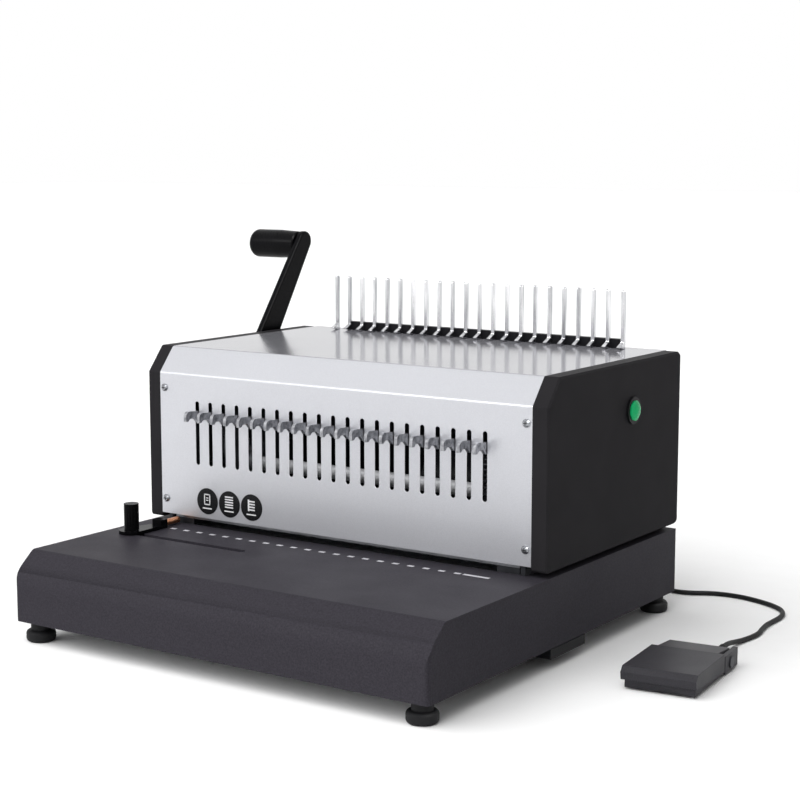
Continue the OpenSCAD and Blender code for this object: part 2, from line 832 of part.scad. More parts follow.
module left_frame() {
    mirror([1, 0, 0]) side_frame();
}

// Round bars that hold the two frames apart
module tie_bars() {
    tie_d = 12;
    color(steel) {
        bar_x(tie_d, -frame_in, frame_in, rear_y - 44, top_z - 24);
        bar_x(tie_d, -frame_in, frame_in, rear_y - 30, table_z + 18);
    }
}

// Flanged plain bearing in the right frame
module bush(d, y, z) {
    difference() {
        union() {
            bar_x(d + 2 * bush_wall, frame_in, frame_x, y, z);
            bar_x(d + 2 * bush_wall + 6, frame_in - bush_flange, frame_in, y, z);
        }
        bar_x(d + 2 * run_gap, frame_in - bush_flange - 1, frame_x + 1, y, z);
    }
}

module shaft_bushes() {
    color(brass) pair_x() {
        bush(cam_shaft_d, cam_y, cam_z);
        bush(opener_shaft_d, opener_y, opener_z);
    }
}

module guide_rods() {
    color(steel) for (x = [-rod_x, rod_x])
        translate([x, rod_y, rod_low]) cylinder(d = rod_d, h = rod_high - rod_low);
}

// Blocks on the side frames that hold both ends of each guide rod
module rod_brackets() {
    half = rod_d / 2 + 3;
    color(dark_steel) pair_x() for (z = [rod_low, rod_high - bracket_h])
        difference() {
            box_at([rod_x - half, rod_y - half, z], [frame_in, rod_y + half, z + bracket_h]);
            translate([rod_x, rod_y, z - 1]) cylinder(d = rod_d + 2 * seat_gap, h = bracket_h + 2);
        }
}

// Outline of a side cap with round corners, drawn in from its edge
module cap_outline(in) {
    outline = housing_profile(table_z + cap_gap);
    radii = [3, cap_corner_r, cap_corner_r, 3, 3];
    hull() for (i = [0 : len(outline) - 1])
        translate(inset(outline, radii[i])[i]) circle(max(0.5, radii[i] - in), $fn = 32);
}

// Shell of a side cap with its bosses on the frame, drawn for the right side
module side_cap() {
    y_near = front_y + 14;
    y_far = rear_y - 14;
    difference() {
        hull() {
            along_x(cap_t - cap_bevel, inner_x) cap_outline(0);
            along_x(cap_t, inner_x) cap_outline(cap_bevel);
        }
        along_x(cap_t - cap_wall, inner_x)
            polygon(inset(housing_profile(table_z + cap_gap), cap_wall + cap_bevel));
    }
    for (y = [y_near, y_far], z = [table_z + 20, top_z - 40])
        bar_x(10, frame_x, base_x - cap_wall + 0.5, y, z);
}

module right_cap() {
    color(black) difference() {
        side_cap();
        bar_x(sleeve_d + 2 * seat_gap, inner_x, base_x + 1, button_y, button_z);
    }
}

module left_cap() {
    color(black) difference() {
        mirror([1, 0, 0]) side_cap();
        bar_x(opener_shaft_d + 2, -base_x - 1, -inner_x, opener_y, opener_z);
    }
}

// Holes for the four panel screws
module screw_bores(d) {
    for (x = [-1, 1], z = [panel_z + 13, top_z - 34])
        bar_y(d, x * (inner_x - 5), front_y - 1, front_y + 8, z);
}

// Sheet folded along the slope, with one slot for each hook
module front_panel() {
    outer = housing_profile(panel_z);
    inner = inset(outer, sheet_t);
    color(silver) difference() {
        across_x(2 * inner_x)
            polygon([outer[0], [inner[0].x, panel_z], inner[4], inner[3], outer[3], outer[4]]);
        comb_row(hole_count) translate([0, front_y + 2 * sheet_t, 0]) rotate([90, 0, 0])
            linear_extrude(3 * sheet_t) round_slot(slot_w, slot_z, slot_top);
        screw_bores(screw_d + 2 * slide_gap);
    }
}

module top_cover() {
    outer = housing_profile(panel_z);
    inner = inset(outer, sheet_t);
    color(silver) across_x(2 * inner_x) polygon([outer[3], inner[3], inner[2], outer[2]]);
}

// Rear sheet with cooling slots for the motor
module rear_panel() {
    outer = housing_profile(panel_z);
    inner = inset(outer, sheet_t);
    vent_pitch = 9;
    vent_z = motor_z - 6;
    color(graphite) difference() {
        across_x(2 * inner_x)
            polygon([outer[2], inner[2], [inner[1].x, table_z], [outer[1].x, table_z]]);
        for (i = [0 : 11])
            translate([motor_face - motor_len + i * vent_pitch, rear_y + sheet_t, 0]) rotate([90, 0, 0])
                linear_extrude(3 * sheet_t) round_slot(3.6, vent_z, vent_z + 30);
    }
}

// Round-headed screws through the front panel into the frames
module panel_screws() {
    r = screw_head_d / 2;
    head_h = 2.4;
    shank = 7;
    profile = [[0, -shank], [screw_d / 2, -shank], [screw_d / 2, 0], [r, 0],
               [r, 0.8], [r - 1, head_h - 0.4], [0, head_h]];
    color(dark_steel) for (x = [-1, 1], z = [panel_z + 13, top_z - 34])
        translate([x * (inner_x - 5), front_y, z]) rotate([90, 0, 0]) rotate_extrude() polygon(profile);
}

// Comb fingers

// Rail behind the fingers, from the second finger to the last
module finger_rail() {
    rail_y = finger_y + finger_t;
    left = (hole_count - 2) / 2 * pitch + finger_w / 2;
    right = hole_count / 2 * pitch - finger_w / 2;
    color(black) box_at([-left, rail_y, top_z], [right, rail_y + rail_t, top_z + rail_h]);
}

// Upright fingers with a pointed toe that faces the front
module comb_fingers() {
    toe_h = 5.5;
    tip = finger_t / 3;
    outline = [[0, 0], [finger_t, 0], [finger_t, finger_h - tip], [finger_t - tip, finger_h],
               [tip, finger_h], [0, finger_h - tip], [0, toe_h], [-finger_toe, toe_h / 3]];
    color(silver) comb_row(hole_count + 1)
        along_x(finger_w, -finger_w / 2) translate([finger_y, top_z]) polygon(outline);
}

// Power button

module button_bezel() {
    color(black) difference() {
        union() {
            bar_x(sleeve_d, switch_front, base_x + 0.1, button_y, button_z);
            bar_x(bezel_d, base_x, base_x + bezel_out, button_y, button_z);
        }
        bar_x(button_d + 2 * run_gap, switch_front - 1, base_x + bezel_out + 1, button_y, button_z);
    }
}

// Push button with a domed face
module power_button() {
    r = button_d / 2;
    back = switch_front + button_travel + slide_gap;
    edge = base_x + bezel_out + 1;
    dome_h = button_out - 1;
    dome_r = (r * r + dome_h * dome_h) / (2 * dome_h);
    face = edge + dome_h;
    profile = concat([[0, back], [r, back]], [for (i = [0 : 6]) let (a = asin(r / dome_r) * (1 - i / 6))
        [dome_r * sin(a), face - dome_r * (1 - cos(a))]]);
    color(green) translate([0, button_y, button_z]) rotate([0, 90, 0]) rotate_extrude() polygon(profile);
}

module power_switch() {
    half = 7;
    color(graphite) {
        bar_x(sleeve_d, switch_front - 3, switch_front, button_y, button_z);
        box_at([switch_x, button_y - half, button_z - half],
               [switch_front - 2, button_y + half, button_z + half]);
    }
}

// Rear sockets and electronics

// Three-pin mains inlet set into the rear wall of the base
module mains_inlet() {
    pin_front = rear_y - 4;
    pin_back = rear_y - 16;
    color(black) translate([-inlet_x, 0, inlet_z]) {
        difference() {
            union() {
                box_at([-16, rear_y, -12.5], [16, rear_y + 2, 12.5]);
                box_at([0.2 - inlet_w / 2, rear_y - 20, 0.2 - inlet_h / 2],
                       [inlet_w / 2 - 0.2, rear_y + 0.5, inlet_h / 2 - 0.2]);
            }
            box_at([-12, rear_y - 15, -8.2], [12, rear_y + 3, 8.2]);
        }
        for (p = [[-7, -2], [0, 2], [7, -2]])
            box_at([p.x - 1, pin_back, p.y - 2], [p.x + 1, pin_front, p.y + 2]);
    }
}

// Circuit board on four pillars, with its transformer and capacitors
module control_board() {
    board_w = 110;
    board_d = 76;
    pillar_h = 8;
    board_z = floor_z + pillar_h;
    color("#2c5b3c") translate([-inlet_x, rear_y - 90, 0]) {
        for (x = [-1, 1], y = [-1, 1])
            translate([x * (board_w / 2 - 5), y * (board_d / 2 - 5), floor_z])
                cylinder(d = 6, h = pillar_h + 0.1);
        box_at([-board_w / 2, -board_d / 2, board_z], [board_w / 2, board_d / 2, board_z + 1.6]);
        box_at([-44, -22, board_z + 1], [-8, 18, board_z + 26]);
        for (x = [12, 28])
            translate([x, -14, board_z + 1]) cylinder(d = 12, h = 21);
        box_at([6, 8, board_z + 1], [42, 26, board_z + 15]);
    }
}

// Comb opener

// Shaft through both frames and the left cap, with a domed outer end
module opener_shaft() {
    head_d = opener_shaft_d + 8;
    color(steel) {
        bar_x(opener_shaft_d, -shaft_end, frame_x + 2, opener_y, opener_z);
        bar_x(head_d, -shaft_end - 3, -shaft_end + 0.01, opener_y, opener_z);
    }
}

module opener_gears() {
    color(steel) pair_x() along_x(opener_gear_w, rod_x - opener_gear_w / 2)
        translate([opener_y, opener_z]) difference() {
            rotate(180) polygon(gear_points(rack_module, opener_teeth));
            circle(d = opener_shaft_d + 2 * seat_gap);
        }
}

module opener_racks() {
    teeth = [for (k = [rack_first : rack_last]) each rack_tooth(k)];
    outline = concat([[rack_back, rack_low], [rack_root, rack_low]], teeth,
                     [[rack_root, rack_high], [rack_back, rack_high]]);
    color(steel) pair_x() along_x(opener_gear_w, rod_x - opener_gear_w / 2) polygon(outline);
}

module carriage_bar() {
    color(dark_steel) box_at([-unit_x, carriage_y, carriage_z],
                             [unit_x, carriage_y + carriage_t, carriage_z + carriage_h]);
}

// Arms from the carriage bar past the guide rods to the racks
module carriage_arms() {
    color(dark_steel) pair_x() difference() {
        union() {
            box_at([rod_x - arm_w / 2, carriage_y + carriage_t, carriage_z],
                   [rod_x + arm_w / 2, rack_back, carriage_z + arm_h]);
            translate([rod_x, rod_y, carriage_z]) cylinder(d = rod_boss_d, h = arm_h);
        }
        translate([rod_x, rod_y, carriage_z - 1]) cylinder(d = rod_d + 2 * run_gap, h = arm_h + 2);
    }
}

// Flat hooks that reach through the slots: a slim neck, braced at the panel, turned down at the tip
module comb_hooks() {
    tip_y = front_y - hook_reach;
    root_y = front_y + sheet_t + 5;
    curl_r = 4;
    rise = 1.5;
    low = neck_top - hook_neck / 2;
    back = [[carriage_y, neck_z], [carriage_y, carriage_z + carriage_h],
            [root_y, neck_top + 4], [root_y - 2, neck_top]];
    curl = arc([tip_y + curl_r, neck_top + rise - curl_r], curl_r, 90, 180, 5);
    beak = [[tip_y, low - 2], [tip_y + 3, low - 2], [tip_y + 5, low]];
    brace = [[front_y - 5, low], [front_y - 1, neck_z + 1]];
    color(steel) comb_row(hole_count) along_x(hook_t, -hook_t / 2)
        polygon(concat(back, curl, beak, brace));
}

// Lever

// Sleeve with a flange that clamps the lever arm on the opener shaft
module lever_hub() {
    color(dark_steel) difference() {
        union() {
            bar_x(hub_flange_d, -lever_x, -base_x - 0.6, opener_y, opener_z);
            bar_x(hub_d - 4, -shaft_end, -lever_x + 1, opener_y, opener_z);
        }
        bar_x(opener_shaft_d + 2 * seat_gap, -shaft_end - 1, -base_x, opener_y, opener_z);
    }
}

// Tapered flat bar with round ends
module lever_arm() {
    tip_past = 4;
    color(black) difference() {
        along_x(lever_t, -lever_x - lever_t) translate([opener_y, opener_z]) rotate(90 - lever_lean) hull() {
            circle(d = lever_foot_w);
            translate([lever_len + tip_past, 0]) circle(d = lever_tip_w);
        }
        bar_x(hub_d - 4 + 2 * seat_gap, -lever_x - lever_t - 1, -lever_x + 1, opener_y, opener_z);
    }
}

// Round grip with a slight swell and a round end
module lever_grip() {
    r = grip_d / 2;
    edge_r = 6;
    neck = 1;
    profile = concat([[0, 0], [r - neck - 1, 0], [r - neck, 1], [r, grip_len * 0.4]],
                     arc([r - edge_r, grip_len - edge_r], edge_r, 0, 90, 6), [[0, grip_len]]);
    color(black) translate([-lever_x - lever_t, grip_y, grip_z]) rotate([0, -90, 0])
        rotate_extrude() polygon(profile);
}

// Side guide

// Plate on the table with a block that holds the stop pin
module guide_bracket() {
    block_w = 10;
    block_d = 8;
    color(black) difference() {
        union() {
            translate([0, 0, guide_z]) linear_extrude(guide_t) hull() {
                translate([guide_x, guide_y]) circle(d = knob_d + 9);
                translate([stop_x, stop_front - block_d / 2]) square([block_w, block_d], center = true);
            }
            box_at([stop_x - block_w / 2, stop_front - block_d, guide_z],
                   [stop_x + block_w / 2, stop_front, stop_z + stop_pin_d / 2 + 1.5]);
        }
        translate([guide_x, guide_y, guide_z - 1]) cylinder(d = stud_d + 2 * seat_gap, h = guide_t + 2);
        bar_y(stop_pin_d + 2 * seat_gap, stop_x, stop_front - block_d / 2, stop_front + 1, stop_z);
    }
}

module stop_pin() {
    color(brass) bar_y(stop_pin_d, stop_x, stop_front - 4, front_y - 1, stop_z);
}

// Slim fluted knob with a blind bore that turns on the stud of the clamp bolt
module guide_knob() {
    flutes = 14;
    r = knob_d / 2;
    color(black) translate([guide_x, guide_y, knob_z]) difference() {
        cylinder(d = knob_d, h = knob_h);
        for (i = [0 : flutes - 1])
            rotate(360 * i / flutes) translate([r + 0.4, 0, 3])
                cylinder(d = 1.6, h = knob_h - 5, $fn = 16);
        translate([0, 0, -1]) cylinder(d = stud_d + 2 * run_gap, h = knob_h - knob_cap + 1);
    }
}

// Square head under the table with a stud that reaches through the slot and the plate into the knob
module clamp_bolt() {
    stud_top = knob_z + knob_h - knob_cap - slide_gap;
    color(dark_steel) translate([guide_x, guide_y, 0]) {
        box_at([-bolt_w / 2, -bolt_w / 2, bolt_z - bolt_h], [bolt_w / 2, bolt_w / 2, bolt_z]);
        translate([0, 0, bolt_z - 0.1]) cylinder(d = stud_d, h = stud_top - bolt_z + 0.1);
    }
}

// Foot pedal, drawn along its own length and set beside the machine

module at_pedal() {
    translate(pedal_at) rotate(pedal_turn) children();
}

// Open pan, higher at the rear where its sides carry the treadle pin, with a block that holds the cord
module pedal_base() {
    half = pedal_w / 2 - treadle_t - slide_gap;
    front = -pedal_l / 2 + 4;
    block_w = 20;
    color(graphite) at_pedal() difference() {
        union() {
            box_at([-half, front, pad_h], [half, pan_rear, pan_h]);
            box_at([relief_x - block_w / 2, pan_rear - 2 * pan_wall, pad_h],
                   [relief_x + block_w / 2, pan_rear, relief_z + 6]);
            box_at([-pedal_w / 2, step_y + step_gap, pad_h], [pan_wall - half, pan_rear, pin_z + pedal_pin_d]);
            box_at([half - pan_wall, step_y + step_gap, pad_h], [pedal_w / 2, pan_rear, pedal_h - tail_fall]);
        }
        box_at([pan_wall - half, front + pan_wall, pad_h + pan_floor],
               [half - pan_wall, pan_rear - 2 * pan_wall, pedal_h]);
        bar_x(pedal_pin_d + 2 * seat_gap, -pedal_w, pedal_w, pin_y, pin_z);
        bar_y(relief_d + 2 * seat_gap, relief_x, pan_rear - 3 * pan_wall, pan_rear + 1, relief_z);
    }
}

// Folded treadle with a bevelled front edge; its rear is narrower, falls away and turns on the pin
module pedal_treadle() {
    half = pedal_w / 2;
    front = -pedal_l / 2;
    rear = pan_rear - 2 * pan_wall - 1;
    bevel = 4;
    skirt_z = pedal_h - 10;
    skirt_low = pad_h + 2;
    tail_z = pan_h + step_gap;
    ear_r = pedal_pin_d / 2 + 2;
    top = pedal_h - treadle_t;
    tail_half = half - step_in;
    color(graphite) at_pedal() difference() {
        union() {
            across_x(pedal_w)
                polygon([[front + 1, skirt_z], [step_y, skirt_low], [step_y, pedal_h],
                         [front + bevel, pedal_h], [front, pedal_h - bevel]]);
            across_x(2 * tail_half)
                polygon([[step_y - 1, tail_z], [rear, tail_z], [rear, pedal_h - tail_fall],
                         [step_y, pedal_h], [step_y - 1, pedal_h]]);
            across_x(2 * tail_half) {
                translate([pin_y, pin_z]) circle(ear_r);
                translate([pin_y - ear_r, pin_z]) square([2 * ear_r, tail_z - pin_z + 1]);
            }
        }
        across_x(pedal_w - 2 * treadle_t) polygon([
            [front + treadle_t + 1, 0], [step_y - treadle_t, 0], [step_y - treadle_t, top],
            [front + bevel + 1, top], [front + treadle_t + 1, pedal_h - bevel - 0.5]]);
        across_x(2 * (tail_half - treadle_t))
            polygon([[step_y - treadle_t - 1, 0], [rear + 1, 0], [rear + 1, top - tail_fall],
                     [step_y, top], [step_y - treadle_t - 1, top]]);
        across_x(pedal_w - 2 * treadle_t)
            translate([front + treadle_t + 1, 0]) square([step_y - front, tail_z]);
        bar_x(pedal_pin_d + 2 * run_gap, -pedal_w, pedal_w, pin_y, pin_z);
    }
}

module pedal_pin() {
    half = pedal_w / 2;
    head_t = 1.2;
    color(dark_steel) at_pedal() {
        bar_x(pedal_pin_d, -half, half, pin_y, pin_z);
        for (x = [-half - head_t, half])
            bar_x(pedal_pin_d + 5, x, x + head_t, pin_y, pin_z);
    }
}

// Small switch whose plunger stands just under the pressed treadle
module pedal_switch() {
    low = pad_h + pan_floor;
    tip = pedal_h - treadle_t - 2.5;
    color(black) at_pedal() {
        box_at([-10, -12, low], [10, 2, low + 7]);
        translate([0, -5, low + 6.9]) cylinder(d = 4, h = tip - low - 6.9);
    }
}

module pedal_pads() {
    color(black) at_pedal() for (x = [-1, 1], y = [-1, 1])
        translate([x * (pedal_w / 2 - 10), y * (pedal_l / 2 - 14), 0]) cylinder(d = 10, h = pad_h);
}

// Pedal cord

// Flanged strain relief that narrows to the cord, along Y from its seat
module strain_relief(d, length, depth) {
    color(black) rotate([-90, 0, 0]) {
        translate([0, 0, -depth]) cylinder(d = d, h = depth + 0.1);
        cylinder(d = d + 4, h = 2.5);
        translate([0, 0, 2.4]) cylinder(d1 = d, d2 = tip_d, h = length - 2.4);
    }
}

module base_gland() {
    translate([base_x - gland_in, rear_y, gland_z]) strain_relief(gland_d, gland_len, 6);
}

module pedal_gland() {
    at_pedal() translate([relief_x, pan_rear, relief_z]) strain_relief(relief_d, relief_len, 4);
}

module pedal_cord() {
    color(black) polyhedron(tube_points(cord_route, cord_d / 2, cord_sides),
                            tube_faces(len(cord_route), cord_sides));
}

base_shell();
bottom_plate();
base_feet();
chip_tray();
tray_runners();
die_bearers();
die_plate();
stripper_plate();
throat_spacers();
paper_stop();
guide_posts();
left_frame();
right_frame();
tie_bars();
shaft_bushes();
guide_rods();
rod_brackets();
left_cap();
right_cap();
front_panel();
top_cover();
rear_panel();
panel_screws();
finger_rail();
comb_fingers();
button_bezel();
power_button();
power_switch();
mains_inlet();
control_board();
gear_motor();
motor_bracket();
motor_pinion();
cam_shaft();
heart_cams();
drive_gear();
ram_bar();
ram_yokes();
punches();
opener_shaft();
opener_gears();
lever_hub();
lever_arm();
lever_grip();
carriage_bar();
carriage_arms();
opener_racks();
comb_hooks();
guide_bracket();
stop_pin();
guide_knob();
clamp_bolt();
pedal_base();
pedal_treadle();
pedal_pin();
pedal_switch();
pedal_pads();
base_gland();
pedal_gland();
pedal_cord();
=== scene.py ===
"""Dressed model of an electric comb binding machine with a lever comb opener and a foot pedal.

Metres, X to the machine's right, Y to its rear, Z up from the desk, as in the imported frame.
"""

import logging
import math
from abc import ABC, abstractmethod
from dataclasses import dataclass, field
from enum import Enum
from typing import Any

import bpy
import numpy as np
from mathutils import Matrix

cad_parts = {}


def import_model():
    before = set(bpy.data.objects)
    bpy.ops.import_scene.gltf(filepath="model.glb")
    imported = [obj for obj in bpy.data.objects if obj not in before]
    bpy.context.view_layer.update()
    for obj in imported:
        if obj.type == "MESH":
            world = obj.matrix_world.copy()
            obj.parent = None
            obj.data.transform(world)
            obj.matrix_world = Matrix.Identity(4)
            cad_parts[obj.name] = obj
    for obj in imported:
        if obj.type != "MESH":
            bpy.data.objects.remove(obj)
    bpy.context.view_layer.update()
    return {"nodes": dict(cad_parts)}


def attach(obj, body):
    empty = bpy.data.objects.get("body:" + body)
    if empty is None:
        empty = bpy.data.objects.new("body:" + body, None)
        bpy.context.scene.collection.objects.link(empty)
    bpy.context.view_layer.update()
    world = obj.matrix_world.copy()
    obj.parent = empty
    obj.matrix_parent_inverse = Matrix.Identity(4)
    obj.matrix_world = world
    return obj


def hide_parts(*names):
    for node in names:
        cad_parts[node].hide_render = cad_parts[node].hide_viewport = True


frame: dict[str, Any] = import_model()

LOG = logging.getLogger("comb_binder")
MM = 0.001
FULL_TURN = 2.0 * math.pi
# Comb holes: their standard pitch, in millimetres and in metres, and how many there are
PITCH_MM = 14.2875
PITCH = PITCH_MM * MM
HOLES = 21
# Top of the table and face of the front panel
TABLE_Z = 72.0 * MM
PANEL_Y = -32.0 * MM
# Part of its range that fractal noise mostly keeps to
NOISE_LOW, NOISE_HIGH = 0.3, 0.7


class Body(str, Enum):
    """Rigid bodies of the machine that new pieces ride on."""

    MACHINE = "machine"
    OPENER = "opener"


def hex_linear(code: str) -> tuple[float, float, float, float]:
    """Turns an sRGB hex colour into linear light.

    Args:
        code: colour such as "4a484e".

    Returns:
        Linear red, green, blue and an alpha of one.
    """
    srgb = np.array([int(code[i:i + 2], 16) for i in (0, 2, 4)]) / 255.0
    linear = np.where(srgb <= 0.04045, srgb / 12.92, ((srgb + 0.055) / 1.055) ** 2.4)
    return (float(linear[0]), float(linear[1]), float(linear[2]), 1.0)


def add_node(tree: bpy.types.NodeTree, kind: str, settings: dict[str, Any] | None = None,
             links: dict[str | int, bpy.types.NodeSocket] | None = None) -> bpy.types.Node:
    """Adds a shader node with its settings and its incoming links.

    Args:
        tree: node tree that gets the node.
        kind: Blender's type name of the node.
        settings: properties of the node, or values of its input sockets, by name.
        links: output sockets that feed its inputs, by the input's name or number.

    Returns:
        The new node.
    """
    node = tree.nodes.new(kind)
    for name, value in (settings or {}).items():
        if name in node.inputs:
            node.inputs[name].default_value = value
        else:
            setattr(node, name, value)
    for name, source in (links or {}).items():
        tree.links.new(source, node.inputs[name])
    return node


@dataclass(frozen=True)
class Grain:
    """Fractal noise: blob size along X, Y and Z in millimetres, octaves of finer noise, and how strong these are."""

    size_mm: tuple[float, float, float]
    detail: float = 2.0
    falloff: float = 0.55

    @classmethod
    def even(cls, size_mm: float, detail: float = 2.0) -> "Grain":
        """Makes noise whose blobs have the same size along each axis.

        Args:
            size_mm: blob size in millimetres.
            detail: octaves of finer noise.

        Returns:
            The grain.
        """
        return cls((size_mm, size_mm, size_mm), detail)

    def value(self, tree: bpy.types.NodeTree) -> bpy.types.NodeSocket:
        """Adds the noise to a node tree.

        Args:
            tree: node tree that gets the nodes.

        Returns:
            The noise value, from zero to one.
        """
        place = add_node(tree, "ShaderNodeTexCoord")
        scale = [1.0 / (size * MM) for size in self.size_mm]
        mapped = add_node(tree, "ShaderNodeMapping", {"Scale": scale}, {"Vector": place.outputs["Object"]})
        noise = add_node(tree, "ShaderNodeTexNoise",
                         {"Scale": 1.0, "Detail": self.detail, "Roughness": self.falloff},
                         {"Vector": mapped.outputs["Vector"]})
        return noise.outputs["Fac"]


@dataclass(frozen=True)
class Pattern:
    """How a finish varies: the grains that drive its colour, roughness and relief, and the values that stay."""

    colour: Grain
    colour_span: tuple[float, float] = (NOISE_LOW, NOISE_HIGH)
    dull: Grain | None = None
    dull_ends: tuple[float, float] = (0.0, 0.0)
    relief: Grain | None = None
    relief_mm: float = 0.0
    relief_share: float = 0.0
    fixed: dict[str, float] = field(default_factory=dict)


@dataclass(frozen=True)
class Finish(ABC):
    """A surface finish: the name of its material, and its colours at the low and the high end of its grain."""

    name: str
    colour: str
    colour_high: str

    @abstractmethod
    def pattern(self) -> Pattern:
        """Says how the finish varies; each kind of finish has its own."""

    def material(self) -> bpy.types.Material:
        """Makes the material, or takes it if it exists.

        Returns:
            The material.
        """
        if self.name in bpy.data.materials:
            return bpy.data.materials[self.name]
        made = bpy.data.materials.new(self.name)
        made.use_nodes = True
        tree = made.node_tree
        tree.nodes.clear()
        look = self.pattern()
        grains = dict.fromkeys(g for g in (look.colour, look.dull, look.relief) if g is not None)
        noise = {g: g.value(tree) for g in grains}
        ramp = add_node(tree, "ShaderNodeValToRGB", links={"Fac": noise[look.colour]})
        for stop, place, code in zip(ramp.color_ramp.elements, look.colour_span, (self.colour, self.colour_high)):
            stop.position = place
            stop.color = hex_linear(code)
        feeds = {"Base Color": ramp.outputs["Color"]}
        if look.dull is not None:
            low, high = look.dull_ends
            dull = add_node(tree, "ShaderNodeMapRange",
                            {"From Min": NOISE_LOW, "From Max": NOISE_HIGH, "To Min": low, "To Max": high},
                            {"Value": noise[look.dull]})
            feeds["Roughness"] = dull.outputs["Result"]
        if look.relief is not None:
            relief = add_node(tree, "ShaderNodeBump",
                              {"Strength": look.relief_share, "Distance": look.relief_mm * MM},
                              {"Height": noise[look.relief]})
            feeds["Normal"] = relief.outputs["Normal"]
        shader = add_node(tree, "ShaderNodeBsdfPrincipled", look.fixed, feeds)
        add_node(tree, "ShaderNodeOutputMaterial", links={"Surface": shader.outputs["BSDF"]})
        return made


@dataclass(frozen=True)
class PowderCoat(Finish):
    """Baked polyester powder on steel sheet: a fine pebbled skin that breaks up every highlight."""

    roughness: float = 0.48
    grit_mm: float = 1.3
    relief: float = 0.35
    shine: float = 0.14
    cloud_mm: float = 60.0
    gloss_swing: float = 0.05
    relief_mm: float = 0.12

    def pattern(self) -> Pattern:
        """Gives pebbles to colour and relief, and wide clouds to the gloss."""
        # Real pebbles are about 0.3 mm; they are drawn coarser so that they show from a step away.
        pebble = Grain.even(self.grit_mm, detail=3.0)
        return Pattern(pebble, dull=Grain.even(self.cloud_mm),
                       dull_ends=(self.roughness - self.gloss_swing, self.roughness + self.gloss_swing),
                       relief=pebble, relief_mm=self.relief_mm, relief_share=self.relief,
                       fixed={"Specular IOR Level": self.shine})


@dataclass(frozen=True)
class SilverLacquer(Finish):
    """Silver lacquer or dull plating with fine metal flake: pale, with a soft metallic sheen."""

    roughness: float
    metal: float = 0.3
    # A clear coat over the flake mirrors a lamp as a thin line along each fold.
    coat: float = 0.0
    coat_roughness: float = 0.12
    # Flakes are a few hundredths of a millimetre; 0.7 mm is the finest size that still shows.
    flake_mm: float = 0.7
    flake_span: tuple[float, float] = (0.25, 0.75)
    cloud_mm: float = 120.0
    gloss_swing: float = 0.03
    relief: float = 0.06
    relief_mm: float = 0.02

    def pattern(self) -> Pattern:
        """Gives flake to colour and relief, and very wide clouds to the gloss."""
        flake = Grain.even(self.flake_mm)
        return Pattern(flake, self.flake_span, dull=Grain.even(self.cloud_mm, detail=1.0),
                       dull_ends=(self.roughness - self.gloss_swing, self.roughness + self.gloss_swing),
                       relief=flake, relief_mm=self.relief_mm, relief_share=self.relief,
                       fixed={"Metallic": self.metal, "Coat Weight": self.coat,
                              "Coat Roughness": self.coat_roughness})


@dataclass(frozen=True)
class MouldedPlastic(Finish):
    """Injection-moulded plastic with a spark-eroded grain: dull in the valleys, faintly shiny on the peaks."""

    roughness: float = 0.42
    grit_mm: float = 0.9
    relief: float = 0.25
    shine: float = 0.12
    flow_mm: float = 45.0
    gloss_swing: float = 0.08
    relief_mm: float = 0.05

    def pattern(self) -> Pattern:
        """Gives wide flow marks to the colour, and pits to gloss and relief."""
        # The eroded grain is about 0.2 mm wide and is drawn at the finest size that still shows.
        pit = Grain.even(self.grit_mm)
        return Pattern(Grain.even(self.flow_mm), dull=pit,
                       dull_ends=(self.roughness - self.gloss_swing, self.roughness + self.gloss_swing),
                       relief=pit, relief_mm=self.relief_mm, relief_share=self.relief,
                       fixed={"Specular IOR Level": self.shine})


@dataclass(frozen=True)
class MouldedRubber(Finish):
    """Black moulded rubber with dust in its pores: almost no shine, a little grey on top."""

    roughness: float
    shine: float = 0.2
    dust_mm: float = 9.0
    dust_span: tuple[float, float] = (0.35, 0.75)
    dust_dulls: float = 0.12
    pore_mm: float = 0.8
    relief: float = 0.3
    relief_mm: float = 0.06

    def pattern(self) -> Pattern:
        """Gives dust to colour and gloss, and pores to the relief."""
        dust = Grain.even(self.dust_mm, detail=4.0)
        return Pattern(dust, self.dust_span, dull=dust, dull_ends=(self.roughness, self.roughness + self.dust_dulls),
                       relief=Grain.even(self.pore_mm, detail=3.0), relief_mm=self.relief_mm,
                       relief_share=self.relief, fixed={"Specular IOR Level": self.shine})


@dataclass(frozen=True)
class GroundSteel(Finish):
    """Ground, drawn or turned metal: fine straight scratches along one axis that stretch the highlights."""

    lay_mm: tuple[float, float, float] = (24.0, 0.5, 0.5)
    roughness: float = 0.32
    stain_mm: tuple[float, float, float] = (18.0, 18.0, 18.0)
    gloss_swing: tuple[float, float] = (-0.08, 0.1)
    relief: float = 0.2
    relief_mm: float = 0.02

    def pattern(self) -> Pattern:
        """Gives stains to the colour, and scratches to gloss and relief."""
        scratch = Grain(self.lay_mm, detail=3.0)
        low, high = self.gloss_swing
        return Pattern(Grain(self.stain_mm, detail=3.0), dull=scratch,
                       dull_ends=(self.roughness + low, self.roughness + high),
                       relief=scratch, relief_mm=self.relief_mm, relief_share=self.relief, fixed={"Metallic": 1.0})


@dataclass(frozen=True)
class InkAndPaintedShade(Finish):
    """A thin dull film with small gaps where the skin below is rough: screen-printed ink, and, in a dark colour,
    painted shade.
    """

    gap_mm: float = 0.9
    gap_span: tuple[float, float] = (0.28, 0.42)
    gap_roughness: float = 0.7
    ink_roughness: float = 0.5

    def pattern(self) -> Pattern:
        """Gives small gaps to colour and gloss."""
        gap = Grain.even(self.gap_mm)
        return Pattern(gap, self.gap_span, dull=gap, dull_ends=(self.gap_roughness, self.ink_roughness))


